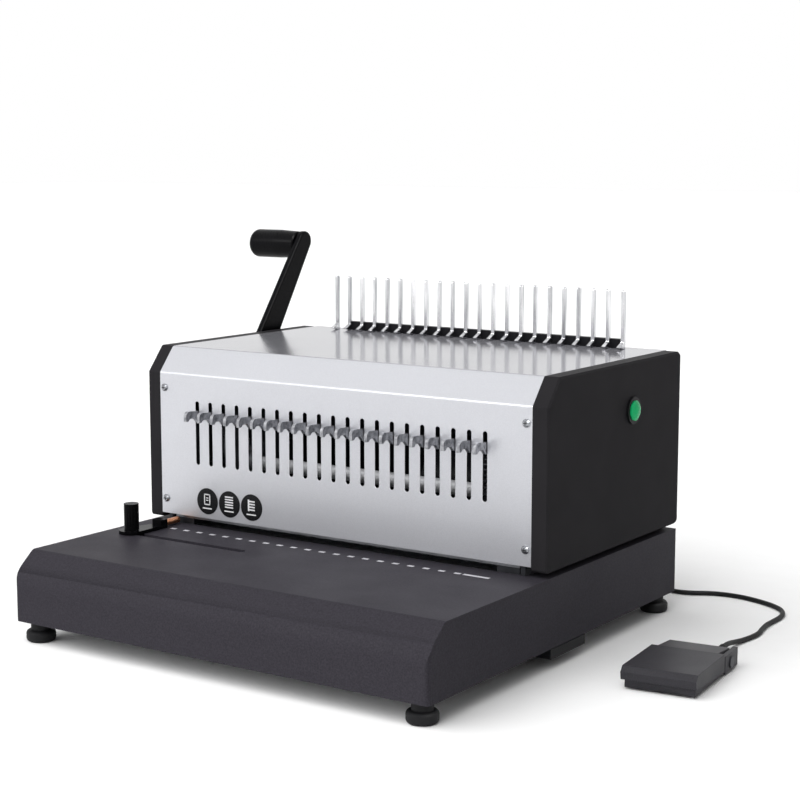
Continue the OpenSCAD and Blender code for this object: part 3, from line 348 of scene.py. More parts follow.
@dataclass(frozen=True)
class StudioPaper(Finish):
    """Matte white paper: an even field without a highlight, on which a soft shadow shows."""

    fibre_mm: float = 30.0
    roughness: float = 0.9
    shine: float = 0.1

    def pattern(self) -> Pattern:
        """Gives faint clouds of fibre to the colour."""
        return Pattern(Grain.even(self.fibre_mm),
                       fixed={"Roughness": self.roughness, "Specular IOR Level": self.shine})


# Painted steel: a dull graphite skin on base, rear and pedal, and a smooth black one on the lever
BASE_PAINT = PowderCoat("graphite_powder_coat", "2c2a2f", "36343a", shine=0.04)
REAR_PAINT = PowderCoat("graphite_powder_coat_rear", "272629", "2f2e32", shine=0.04)
PEDAL_PAINT = PowderCoat("graphite_hammer_coat_pedal", "2c2b2f", "353438", 0.45, 1.1, 0.3)
LEVER_COAT = PowderCoat("black_lever_coat", "08080a", "0c0c0e", 0.24, 0.9, 0.08, 0.05)
# Silver sheet: satin in front with a bright fold, almost a mirror on top, and a dull plated shaft inside
PANEL_SILVER = SilverLacquer("silver_lacquer_satin", "bfc0c5", "cacbd0", 0.42, 0.8, 0.5)
TOP_SILVER = SilverLacquer("silver_lacquer_polished", "98989e", "a2a2a8", 0.14, 0.4)
ZINC_PLATE = SilverLacquer("dull_zinc_plate", "c4c5c8", "d6d7da", 0.4, 0.2)
# Plastics: flat black on the caps, deeper black on trim and grips, a clear green button, a green board
CAP_ABS = MouldedPlastic("black_abs_grained", "252426", "282729", shine=0.01)
TRIM_ABS = MouldedPlastic("black_abs_fine", "131315", "19191c", 0.36, 0.7, 0.15, 0.08)
GRIP_ABS = MouldedPlastic("black_abs_grip", "0a0a0b", "0f0f11", 0.3, 0.8, 0.12, 0.05)
BADGE_VINYL = MouldedPlastic("black_badge_vinyl", "121213", "18181a", 0.3, 0.9, 0.06)
BUTTON_PLASTIC = MouldedPlastic("green_polycarbonate", "0b9f5f", "12ab69", 0.12, 0.9, 0.04, 0.16)
BOARD_EPOXY = MouldedPlastic("green_glass_epoxy", "23513a", "2d6147", 0.35, 1.2, 0.1, 0.4)
# Soft blacks: rubber feet and the sheath of the cord, which swallow the light
FOOT_RUBBER = MouldedRubber("black_foot_rubber", "0f0f11", "171719", 0.55)
CORD_PVC = MouldedRubber("black_pvc_sheath", "080809", "0f0f10", 0.5)
# Bare metal: bright tools, shafts and fingers, mottled hooks, blackened frames, warm bushes and pin
TOOL_STEEL = GroundSteel("ground_tool_steel", "8d8f93", "a3a5a9")
SHAFT_STEEL = GroundSteel("drawn_shaft_steel", "94969a", "a8aaae", (40.0, 0.6, 0.6), 0.26)
HOOK_STEEL = GroundSteel("pressed_hook_steel", "76777c", "b9babe", (3.0, 3.0, 0.6), 0.34, (4.0, 4.0, 4.0))
FINGER_STEEL = GroundSteel("nickel_finger_steel", "9c9da1", "eeeef0", (0.7, 0.7, 14.0), 0.18, (5.0, 5.0, 60.0))
FRAME_STEEL = GroundSteel("blackened_frame_steel", "3a3b3e", "4a4b4f", (10.0, 1.0, 10.0), 0.5)
BUSH_BRASS = GroundSteel("turned_brass", "a8703a", "c08a4e", (0.8, 10.0, 0.8), 0.28)
PIN_BRONZE = GroundSteel("turned_bronze", "b57a58", "cf9a76", (0.8, 10.0, 0.8), 0.3)
# Print, from worn to full: white signs, greyer ticks on the table; and painted shade, dark, in the drives of the
# screws
SIGN_INK = InkAndPaintedShade("white_screen_ink", "a4a3a8", "d6d6d8")
TICK_INK = InkAndPaintedShade("pale_table_ink", "807f85", "b6b5ba")
# The screw drives carry no ink: this dark film is painted shade where each cross recess lies in shadow.
RECESS_PAINTED_SHADE = InkAndPaintedShade("painted_shade_in_drive_recess", "36363a", "2a2a2d")
# Floor of the studio
FLOOR_PAPER = StudioPaper("white_studio_paper", "fbfbfb", "fdfdfd")


def dress(finish: Finish, *nodes: str) -> None:
    """Gives CAD nodes a finish.

    Args:
        finish: the finish.
        nodes: names of the nodes.
    """
    for name in nodes:
        for slot in frame["nodes"][name].material_slots:
            slot.material = finish.material()


def soften(width_mm: float, *nodes: str, join_mm: float = 0.01, steps: int = 3, least_turn: float = 32.0) -> None:
    """Rounds the sharp edges of CAD nodes with live modifiers, so that they catch light.

    Args:
        width_mm: width of the rounding.
        nodes: names of the nodes.
        join_mm: distance within which loose corners are joined.
        steps: faces across the rounding.
        least_turn: angle in degrees from which an edge counts as sharp.
    """
    for name in nodes:
        part = frame["nodes"][name]
        weld = part.modifiers.new("join_corners", "WELD")
        weld.merge_threshold = join_mm * MM
        edge = part.modifiers.new("edge_round", "BEVEL")
        edge.width = width_mm * MM
        edge.segments = steps
        edge.limit_method = "ANGLE"
        edge.angle_limit = math.radians(least_turn)
        edge.use_clamp_overlap = True
        edge.harden_normals = False


def add_piece(name: str, points: np.ndarray, faces: np.ndarray, finish: Finish, body: Body, slot: str,
              smooth: bool = True, ends: np.ndarray | None = None) -> bpy.types.Object:
    """Makes a mesh piece that rides on a body.

    Args:
        name: name of the piece.
        points: N by 3 array of corners in metres.
        faces: M by 4 array of corner numbers, counter-clockwise seen from outside.
        finish: surface finish.
        body: body that carries the piece.
        slot: the record's material slot that it belongs to; not used.
        smooth: whether its faces are shaded smooth.
        ends: corner numbers of the end faces of a tube, one row for each end.

    Returns:
        The new object.
    """
    mesh = bpy.data.meshes.new(name)
    mesh.from_pydata(points.tolist(), [], faces.tolist() + ([] if ends is None else ends.tolist()))
    mesh.polygons.foreach_set("use_smooth", np.full(len(mesh.polygons), smooth))
    mesh.materials.append(finish.material())
    mesh.update()
    piece = bpy.data.objects.new(name, mesh)
    bpy.context.scene.collection.objects.link(piece)
    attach(piece, body.value)
    LOG.info("piece %s on %s", name, body.value)
    return piece


def grid_faces(rows: int, cols: int) -> np.ndarray:
    """Quads of a grid that closes round its second parameter.

    Args:
        rows: points along the first parameter.
        cols: points round the second parameter.

    Returns:
        (rows - 1) * cols quads.
    """
    i, j = np.meshgrid(np.arange(rows - 1), np.arange(cols), indexing="ij")
    nxt = (j + 1) % cols
    quads = np.stack([i * cols + j, i * cols + nxt, (i + 1) * cols + nxt, (i + 1) * cols + j], axis=-1)
    return quads.reshape(-1, 4)


def end_faces(rows: int, cols: int) -> np.ndarray:
    """End faces that close a grid of rings.

    Args:
        rows: number of rings.
        cols: points in each ring.

    Returns:
        Corner numbers of the first and the last face.
    """
    ring = np.arange(cols)
    return np.stack([ring[::-1], ring + (rows - 1) * cols])


def tube(path: np.ndarray, ahead: np.ndarray, radius: np.ndarray, sides: int) -> np.ndarray:
    """Carries a circle along a path: point = path(u) + r(u) (cos v * side + sin v * down).

    Args:
        path: N by 3 centre line.
        ahead: N by 3 direction of the path.
        radius: radius at each point of the path.
        sides: points round the circle.

    Returns:
        Points, ring after ring, counter-clockwise seen from the far end.
    """
    ahead = ahead / np.linalg.norm(ahead, axis=1, keepdims=True)
    side = np.cross(ahead, [0.0, 0.0, 1.0])
    side /= np.linalg.norm(side, axis=1, keepdims=True)
    down = np.cross(ahead, side)
    turn = np.linspace(0.0, FULL_TURN, sides, endpoint=False)
    around = np.cos(turn)[None, :, None] * side[:, None, :] + np.sin(turn)[None, :, None] * down[:, None, :]
    return (path[:, None, :] + radius[:, None, None] * around).reshape(-1, 3)


def slabs(boxes: np.ndarray) -> tuple[np.ndarray, np.ndarray]:
    """Thin plates as boxes: each corner mixes the low and the high end of its box.

    Args:
        boxes: N by 6 array of x0, y0, z0, x1, y1, z1 in metres.

    Returns:
        Points and quads.
    """
    pick = np.array([[0, 0, 0], [1, 0, 0], [1, 1, 0], [0, 1, 0], [0, 0, 1], [1, 0, 1], [1, 1, 1], [0, 1, 1]])
    low, high = boxes[:, None, :3], boxes[:, None, 3:]
    points = low + (high - low) * pick[None, :, :]
    quads = np.array([[0, 3, 2, 1], [4, 5, 6, 7], [0, 1, 5, 4], [1, 2, 6, 5], [2, 3, 7, 6], [3, 0, 4, 7]])
    faces = quads[None, :, :] + len(pick) * np.arange(len(boxes))[:, None, None]
    return points.reshape(-1, 3), faces.reshape(-1, 4)


@dataclass
class BaseUnit:
    """Base with its table, feet, chip tray and the printed row of ticks."""

    tick_first_x: float = -155.0 * MM
    tick_size: tuple[float, float] = (5.5 * MM, 3.5 * MM)
    tick_y: float = -51.0 * MM
    long_mark: tuple[float, float] = (136.0 * MM, 159.0 * MM)
    ink: float = 0.06 * MM

    def build(self) -> None:
        """Dresses the base and prints its ticks."""
        dress(BASE_PAINT, "base_shell")
        dress(FRAME_STEEL, "bottom_plate")
        dress(FOOT_RUBBER, "base_feet")
        dress(TRIM_ABS, "chip_tray")
        dress(SHAFT_STEEL, "tray_runners")
        soften(1.2, "base_shell")
        soften(0.4, "chip_tray")
        self.ticks()

    def ticks(self) -> None:
        """Prints one white tick for each comb hole, at equal steps along X, and a longer one at the right end."""
        half_x, half_y = np.array(self.tick_size) / 2.0
        x = self.tick_first_x + PITCH * np.arange(HOLES)
        spans = np.vstack([np.stack([x - half_x, x + half_x], axis=1), self.long_mark])
        level = np.ones(len(spans))
        boxes = np.stack([spans[:, 0], (self.tick_y - half_y) * level, TABLE_Z * level,
                          spans[:, 1], (self.tick_y + half_y) * level, (TABLE_Z + self.ink) * level], axis=1)
        add_piece("table_ticks", *slabs(boxes), TICK_INK, Body.MACHINE, "silver_paint", False)


@dataclass
class Housing:
    """Sheet panels, side caps, frames, screws and the badges of the front panel.

    The side line and the sizes of sheet and slots are in millimetres.
    """

    badge_x: tuple[float, ...] = (-133.0 * MM, -109.0 * MM, -85.0 * MM)
    badge_z: float = 95.0 * MM
    badge_r: float = 11.3 * MM
    badge_t: float = 0.5 * MM
    badge_sides: int = 64
    # Share of the badge's radius and of its thickness, from the panel to the middle of its face
    badge_profile: tuple[tuple[float, float], ...] = ((1.0, 0.0), (1.0, 0.6), (0.985, 0.85), (0.95, 0.95), (0.6, 1.0))
    sign_proud: float = 0.05 * MM
    sign_sunk: float = 0.02 * MM
    screw_x: float = 179.0 * MM
    screw_z: tuple[float, float] = (93.0 * MM, 189.5 * MM)
    screw_proud: float = 2.4 * MM
    recess_half: tuple[float, float] = (1.6 * MM, 0.35 * MM)
    recess_proud: float = 0.03 * MM
    recess_sunk: float = 0.5 * MM
    corners: tuple[tuple[float, float], ...] = ((-32.0, 80.0), (-32.0, 202.5), (-14.5, 223.5), (194.0, 223.5))
    half_width: float = 184.0
    sheet: float = 2.0
    fold_r: float = 4.0
    fold_points: int = 8
    # The upper fold is shared: the front panel ends and the top cover starts in its middle.
    shared_fold_points: int = 13
    # Width of the rows and columns that keep flat runs flat beside folds and edges
    border: float = 0.6
    skirt_rows: int = 3
    sharp_turn: float = 50.0
    slot_width: float = 4.0
    slot_z: tuple[float, float] = (125.5, 180.0)
    slot_margin: float = 6.0
    slot_side_steps: int = 8
    slot_end_steps: int = 12
    # How far each ring of the rim lies outside the slot and below the face
    slot_rim: tuple[tuple[float, float], ...] = ((0.7, 0.0), (0.16, 0.0), (0.05, 0.05), (0.0, 0.16))
    slot_cut_back: float = 1.3

    def build(self) -> None:
        """Dresses the housing and adds its folded sheets, badges and the painted shade of the screw recesses."""
        self.front_sheet()
        self.top_sheet()
        dress(REAR_PAINT, "rear_panel")
        dress(CAP_ABS, "left_cap", "right_cap")
        dress(FRAME_STEEL, "left_frame", "right_frame", "rod_brackets")
        dress(SHAFT_STEEL, "tie_bars", "guide_rods", "panel_screws")
        dress(BUSH_BRASS, "shaft_bushes")
        soften(1.1, "left_cap", "right_cap")
        for number, x in enumerate(self.badge_x):
            self.badge(number, x)
        self.recesses()

    def fold(self, corner: int, steps: int) -> np.ndarray:
        """Rounds one fold of the side line: point = centre - radius * n, with n turning between both runs' normals.

        Args:
            corner: number of the corner in the side line.
            steps: points on the arc.

        Returns:
            Rows of y, z and the y and z of the inward normal n, in millimetres.
        """
        line = np.array(self.corners)
        runs = np.diff(line[corner - 1:corner + 2], axis=0)
        runs /= np.linalg.norm(runs, axis=1, keepdims=True)
        inward = np.stack([runs[:, 1], -runs[:, 0]], axis=1)
        turn = np.linspace(*np.arctan2(inward[:, 1], inward[:, 0]), steps)
        normal = np.stack([np.cos(turn), np.sin(turn)], axis=1)
        centre = line[corner] + self.fold_r * inward.sum(axis=0) / (1.0 + inward[0] @ inward[1])
        return np.hstack([centre - self.fold_r * normal, normal])

    def shared_fold(self) -> tuple[np.ndarray, np.ndarray]:
        """Parts the upper fold in its middle, into the panel's rows and the cover's rows."""
        rows, middle = self.fold(2, self.shared_fold_points), self.shared_fold_points // 2
        return rows[:middle + 1], rows[middle:]

    @staticmethod
    def step_on(row: np.ndarray, reach: float) -> np.ndarray:
        """Moves a row of the side line along the sheet, square to its normal.

        Args:
            row: y, z and the inward normal.
            reach: distance in millimetres, positive towards the rear edge.

        Returns:
            The moved row.
        """
        return row + np.array([-row[3] * reach, row[2] * reach, 0.0, 0.0])

    def slot_rings(self) -> np.ndarray:
        """Rings round one slot, from the rectangle about it over its thin rim and through it to the inner face.

        Each ring has the same points in turn: up the right side and round the top, and then the same turned by
        half a turn. A ring is the slot's outline moved out along its normals, at a depth below the face.

        Returns:
            Rings by points by x, depth and z, in millimetres.
        """
        radius, side = self.slot_width / 2.0, PITCH_MM / 2.0
        middle, reach = sum(self.slot_z) / 2.0, (self.slot_z[1] - self.slot_z[0]) / 2.0
        straight, edge = reach - radius, reach + self.slot_margin
        quarter = self.slot_end_steps // 4
        rise = np.linspace(-straight, straight, self.slot_side_steps, endpoint=False)
        bend = np.linspace(0.0, math.pi, self.slot_end_steps, endpoint=False)
        turn = np.concatenate([np.zeros_like(rise), bend])
        normal = np.stack([np.cos(turn), np.sin(turn)], axis=1)
        spine = np.concatenate([rise, np.full_like(bend, straight)])
        outline = radius * normal + spine[:, None] * np.array([0.0, 1.0])
        box_x = np.concatenate([np.full(self.slot_side_steps + quarter, side),
                                np.linspace(side, -side, 2 * quarter, endpoint=False), np.full(quarter, -side)])
        box_z = np.concatenate([rise, np.linspace(straight, edge, quarter, endpoint=False),
                                np.full(2 * quarter, edge), np.linspace(edge, straight, quarter, endpoint=False)])
        box = np.stack([box_x, box_z], axis=1)
        outline, normal, box = (np.vstack([half, -half]) for half in (outline, normal, box))
        out, deep = np.array([*self.slot_rim, (self.slot_cut_back, self.sheet)]).T
        rings = np.concatenate([box[None], outline + out[:, None, None] * normal, box[None]])
        depth = np.concatenate([[0.0], deep, [self.sheet]])
        return np.stack([rings[..., 0], np.broadcast_to(depth[:, None], rings.shape[:2]), middle + rings[..., 1]],
                        axis=-1)

    def skin(self, rows: np.ndarray, x: np.ndarray, keep: np.ndarray) -> tuple[np.ndarray, np.ndarray]:
        """Folded sheet as a grid: point = (x, side line), and the same moved in by the sheet's thickness.

        Args:
            rows: side line as rows of y, z and the inward normal.
            x: places across the sheet.
            keep: which quads of the grid are there, rows by columns.

        Returns:
            Points in millimetres and quads of both faces and the four edges.
        """
        n, m = len(rows), len(x)
        depth = np.array([0.0, self.sheet])[:, None, None]
        line = rows[None, :, :2] + depth * rows[None, :, 2:]
        points = np.stack([np.broadcast_to(x, (2, n, m)), np.broadcast_to(line[..., :1], (2, n, m)),
                           np.broadcast_to(line[..., 1:], (2, n, m))], axis=-1).reshape(-1, 3)
        out, back = np.arange(2 * n * m).reshape(2, n, m)
        face = [np.stack([f[:-1, :-1], f[:-1, 1:], f[1:, 1:], f[1:, :-1]], axis=-1)[keep] for f in (out, back)]
        low = np.stack([back[0, :-1], back[0, 1:], out[0, 1:], out[0, :-1]], axis=-1)
        high = np.stack([out[-1, :-1], out[-1, 1:], back[-1, 1:], back[-1, :-1]], axis=-1)
        left = np.stack([out[:-1, 0], out[1:, 0], back[1:, 0], back[:-1, 0]], axis=-1)
        right = np.stack([out[1:, -1], out[:-1, -1], back[:-1, -1], back[1:, -1]], axis=-1)
        return points, np.vstack([face[0], face[1][:, ::-1], low, high, left, right])

    def add_sheet(self, name: str, points: np.ndarray, faces: np.ndarray, finish: Finish, node: str) -> None:
        """Joins equal corners of a sheet and adds it, with crisp cut edges and soft folds.

        Args:
            name: name of the piece.
            points: corners in millimetres.
            faces: quads.
            finish: surface finish.
            node: CAD node that it replaces.
        """
        _, first, number = np.unique(np.round(points, 5), axis=0, return_index=True, return_inverse=True)
        used, faces = np.unique(number.reshape(-1)[faces], return_inverse=True)
        piece = add_piece(name, MM * points[first[used]], faces.reshape(-1, 4), finish, Body.MACHINE, "silver_paint")
        piece.data.set_sharp_from_angle(angle=math.radians(self.sharp_turn))
        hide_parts(node)

    def front_sheet(self) -> None:
        """Front panel with soft folds and a thin rim round each slot, cut back behind the face.

        A grid over the whole panel leaves out the row of slots, and the rings round each slot fill its place.
        """
        rings = self.slot_rings()
        slots = PITCH_MM * (np.arange(HOLES) - (HOLES - 1) / 2.0)
        over = rings[0, :, 0].max()
        (face_y, foot_z), cell_z = self.corners[0], np.unique(np.round(rings[0, :, 2], 6))
        z = np.concatenate([np.linspace(foot_z, cell_z[0], self.skirt_rows, endpoint=False), cell_z])
        flat = np.stack([np.full_like(z, face_y), z, np.ones_like(z), np.zeros_like(z)], axis=1)
        lower, (upper, _) = self.fold(1, self.fold_points), self.shared_fold()
        rows = np.vstack([flat, self.step_on(lower[0], -self.border), lower, self.step_on(lower[-1], self.border),
                          self.step_on(upper[0], -self.border), upper])
        cells = slots[:, None] + np.linspace(-over, over, self.slot_end_steps // 2, endpoint=False)
        margin = np.array([self.half_width - self.border, self.half_width])
        x = np.concatenate([-margin[::-1], cells.ravel(), [slots[-1] + over], margin])
        keep = np.ones((len(rows) - 1, len(x) - 1), dtype=bool)
        keep[self.skirt_rows:len(flat) - 1, len(margin):len(margin) + cells.size] = False
        points, faces = self.skin(rows, x, keep)
        ring_points = rings + np.array([0.0, face_y, 0.0]) + slots[:, None, None, None] * np.array([1.0, 0.0, 0.0])
        count = rings.shape[0] * rings.shape[1]
        quads = grid_faces(*rings.shape[:2])[None] + len(points) + count * np.arange(HOLES)[:, None, None]
        self.add_sheet("front_sheet", np.vstack([points, ring_points.reshape(-1, 3)]),
                       np.vstack([faces, quads.reshape(-1, 4)]), PANEL_SILVER, "front_panel")

    def top_sheet(self) -> None:
        """Top cover with the rear half of the upper fold and a mitred rear edge."""
        _, bend = self.shared_fold()
        rear = np.array([*self.corners[3], -1.0, -1.0])
        rows = np.vstack([bend, self.step_on(bend[-1], self.border), rear])
        x = np.array([-self.half_width, self.half_width])
        points, faces = self.skin(rows, x, np.ones((len(rows) - 1, 1), dtype=bool))
        self.add_sheet("top_sheet", points, faces, TOP_SILVER, "top_cover")

    @staticmethod
    def plates(rects: np.ndarray, front: float, back: float) -> tuple[np.ndarray, np.ndarray]:
        """Thin plates that lie along the front panel.

        Args:
            rects: N by 4 array of x0, z0, x1, z1 in metres.
            front: y of their front.
            back: y of their back.

        Returns:
            Points and quads.
        """
        thin = np.ones(len(rects))
        ends = (rects[:, 0], front * thin, rects[:, 1], rects[:, 2], back * thin, rects[:, 3])
        return slabs(np.stack(ends, axis=1))

    def badge(self, number: int, x: float) -> None:
        """Adds one domed black disc with a plain white sign of paper, stack or comb.

        The disc is a profile turned about Y: radius falls as the face rises.

        Args:
            number: which badge, counted from the left.
            x: centre along the panel.
        """
        profile = np.array(self.badge_profile)
        radius, rise = self.badge_r * profile[:, :1], self.badge_t * profile[:, 1:]
        turn = np.linspace(0.0, FULL_TURN, self.badge_sides, endpoint=False)
        points = np.stack([x + radius * np.cos(turn), PANEL_Y - rise + 0.0 * turn,
                           self.badge_z + radius * np.sin(turn)], axis=-1)
        shape = points.shape[:2]
        add_piece(f"badge_disc_{number}", points.reshape(-1, 3), grid_faces(*shape), BADGE_VINYL, Body.MACHINE,
                  "black_plastic", ends=end_faces(*shape))
        strokes = MM * self.signs()[number] + np.array([x, self.badge_z, x, self.badge_z])
        face = PANEL_Y - self.badge_t
        sign = self.plates(strokes, face - self.sign_proud, face + self.sign_sunk)
        add_piece(f"badge_sign_{number}", *sign, SIGN_INK, Body.MACHINE, "silver_paint", False)

    @staticmethod
    def signs() -> list[np.ndarray]:
        """Strokes of the three signs: a sheet, a stack of sheets and a comb spine.

        Returns:
            One array of x0, z0, x1, z1 per sign, in millimetres.
        """
        foot = [-5.0, -6.6, 5.0, -5.6]
        sheet = [[-3.4, -3.2, -2.4, 6.4], [2.4, -3.2, 3.4, 6.4], [-3.4, 5.4, 3.4, 6.4], [-3.4, -3.2, 3.4, -2.2],
                 [-1.4, 2.6, 1.4, 3.3], [-1.4, 0.6, 1.4, 1.3], foot]
        stack = [[-4.4, z, 4.4, z + 1.1] for z in (-3.2, -1.0, 1.2, 3.4, 5.6)] + [foot]
        comb = [[-3.6, -3.2, -2.0, 6.6]] + [[-2.0, z, 3.8, z + 1.2] for z in (-2.6, -0.2, 2.2, 4.6)] + [foot]
        return [np.array(sheet), np.array(stack), np.array(comb)]

    def recesses(self) -> None:
        """Adds painted shade in the cross recesses of the panel screws: two crossed dark bars about each screw's
        centre.
        """
        x, z = np.meshgrid(np.array([-self.screw_x, self.screw_x]), np.array(self.screw_z))
        centre = np.stack([x.ravel(), z.ravel()], axis=1)[:, None, :]
        arm = np.array([self.recess_half, self.recess_half[::-1]])
        rects = np.concatenate([centre - arm, centre + arm], axis=-1).reshape(-1, 4)
        face = PANEL_Y - self.screw_proud
        crosses = self.plates(rects, face - self.recess_proud, face + self.recess_sunk)
        # These dark crosses are painted shade standing in for the shadow inside each screw drive.
        add_piece("screw_recess_painted_shade", *crosses, RECESS_PAINTED_SHADE, Body.MACHINE, "dark_steel", False)


@dataclass
class PunchUnit:
    """Die, stripper, punches and their cam drive inside the housing."""

    bright: tuple[str, ...] = ("die_plate", "stripper_plate", "punches", "heart_cams", "motor_pinion")
    blackened: tuple[str, ...] = ("throat_spacers", "paper_stop", "ram_bar", "ram_yokes", "die_bearers",
                                  "motor_bracket", "drive_gear")
    electrical: tuple[str, ...] = ("gear_motor", "power_switch", "mains_inlet", "button_bezel")

    def build(self) -> None:
        """Dresses the punch unit, its motor and the electrical pieces."""
        dress(TOOL_STEEL, *self.bright)
        dress(SHAFT_STEEL, "guide_posts")
        dress(ZINC_PLATE, "cam_shaft")
        dress(FRAME_STEEL, *self.blackened)
        dress(TRIM_ABS, *self.electrical)
        dress(BOARD_EPOXY, "control_board")
        dress(BUTTON_PLASTIC, "power_button")


@dataclass
class CombOpener:
    """Lever, opener gears, hook carriage, and the fingers with their rail. Lever sizes are in millimetres."""

    pivot: tuple[float, float] = (96.0, 150.0)
    lever_x: tuple[float, float] = (-208.0, -202.0)
    lever_lean: float = math.radians(34.0)
    lever_reach: float = 186.0
    lever_widths: tuple[float, float] = (32.0, 19.0)
    lever_edge_r: float = 1.8
    # How far the flat faces are drawn in, as a multiple of the rounding
    lever_face_in: float = 1.5
    tip_points: int = 33
    foot_points: int = 41
    edge_points: int = 7

    def build(self) -> None:
        """Dresses the opener and the finger row."""
        dress(SHAFT_STEEL, "opener_shaft")
        dress(TOOL_STEEL, "opener_gears", "opener_racks")
        dress(FRAME_STEEL, "carriage_bar", "carriage_arms", "lever_hub")
        dress(HOOK_STEEL, "comb_hooks")
        dress(GRIP_ABS, "lever_grip")
        dress(FINGER_STEEL, "comb_fingers")
        dress(TRIM_ABS, "finger_rail")
        soften(0.4, "comb_fingers", "finger_rail")
        soften(0.3, "comb_hooks")
        self.lever_bar()

    def lever_bar(self) -> None:
        """Adds the lever's tapered flat bar with rounded edges.

        Its outline is the hull of two circles: at normal angle a, the point is the centre of the circle that reaches
        furthest that way plus its radius along the normal. Rings of it, drawn in by the rounding, go across the bar.
        """
        foot, tip = (width / 2.0 for width in self.lever_widths)
        meet = math.acos((foot - tip) / self.lever_reach)
        ahead = np.linspace(-meet, meet, self.tip_points)
        behind = np.linspace(meet, FULL_TURN - meet, self.foot_points)
        angle = np.concatenate([ahead, behind])
        radius = np.concatenate([np.full_like(ahead, tip), np.full_like(behind, foot)])
        centre = np.concatenate([np.full_like(ahead, self.lever_reach), np.zeros_like(behind)])
        bend = np.linspace(0.0, math.pi / 2.0, self.edge_points)
        face = [self.lever_face_in]
        inset = self.lever_edge_r * np.concatenate([face, 1.0 - np.sin(bend), 1.0 - np.cos(bend), face])
        low, high = self.lever_x
        x = np.concatenate([[low], low + self.lever_edge_r * (1.0 - np.cos(bend)),
                            high - self.lever_edge_r * (1.0 - np.sin(bend)), [high]])
        along = centre + (radius - inset[:, None]) * np.cos(angle)
        across = (radius - inset[:, None]) * np.sin(angle)
        sine, cosine = math.sin(self.lever_lean), math.cos(self.lever_lean)
        y = self.pivot[0] + sine * along - cosine * across
        z = self.pivot[1] + cosine * along + sine * across
        points = MM * np.stack([np.broadcast_to(x[:, None], y.shape), y, z], axis=-1).reshape(-1, 3)
        piece = add_piece("lever_bar", points, grid_faces(*y.shape), LEVER_COAT, Body.OPENER, "lever_black",
                          ends=end_faces(*y.shape))
        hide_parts("lever_arm")


@dataclass
class SideGuide:
    """Guide plate, knob, stop pin and clamp bolt on the table."""

    def build(self) -> None:
        """Dresses the side guide."""
        dress(LEVER_COAT, "guide_bracket")
        dress(GRIP_ABS, "guide_knob")
        dress(PIN_BRONZE, "stop_pin")
        dress(FRAME_STEEL, "clamp_bolt")
        soften(0.3, "guide_bracket")


@dataclass(frozen=True)
class StrainRelief:
    """Tapered sleeve with rounded ribs that guards the cord where it leaves a wall. Sizes are in millimetres."""

    name: str
    node: str
    length: float
    width: float
    sunk: float = 4.0
    flange_t: float = 2.5
    flange_lip: float = 2.0
    flange_round: float = 0.4
    sleeve_from: float = 2.6
    tip_r: float = 2.6
    ribs: float = 7.0
    rib_depth: float = 0.45
    ribs_until: float = 0.9
    rings: int = 73
    sides: int = 36

    def add(self, tip: np.ndarray, axis: np.ndarray) -> None:
        """Adds the sleeve, a profile turned about its axis.

        The radius falls evenly from the flange to the tip, less a rib depth times a raised cosine of the length.

        Args:
            tip: middle of its narrow end, in metres.
            axis: unit vector along the cord.
        """
        neck = self.width / 2.0
        along = np.linspace(self.sleeve_from, self.length, self.rings)
        share = (along - self.sleeve_from) / (self.length - self.sleeve_from)
        wave = 0.5 * (1.0 - np.cos(FULL_TURN * self.ribs * share)) * (share < self.ribs_until)
        sleeve = neck + (self.tip_r - neck) * share - self.rib_depth * wave
        far, bevel = self.flange_t, self.flange_round
        t = np.concatenate([[-self.sunk, 0.0, 0.0, bevel, far - bevel, far, far], along])
        rim = neck + self.flange_lip
        r = np.concatenate([[neck, neck, rim - bevel, rim, rim, rim - bevel, neck], sleeve])
        path = tip + MM * (t[:, None] - self.length) * axis
        points = tube(path, np.broadcast_to(axis, path.shape), MM * r, self.sides)
        piece = add_piece(self.name, points, grid_faces(len(t), self.sides), CORD_PVC, Body.MACHINE, "black_rubber",
                          ends=end_faces(len(t), self.sides))
        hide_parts(self.node)


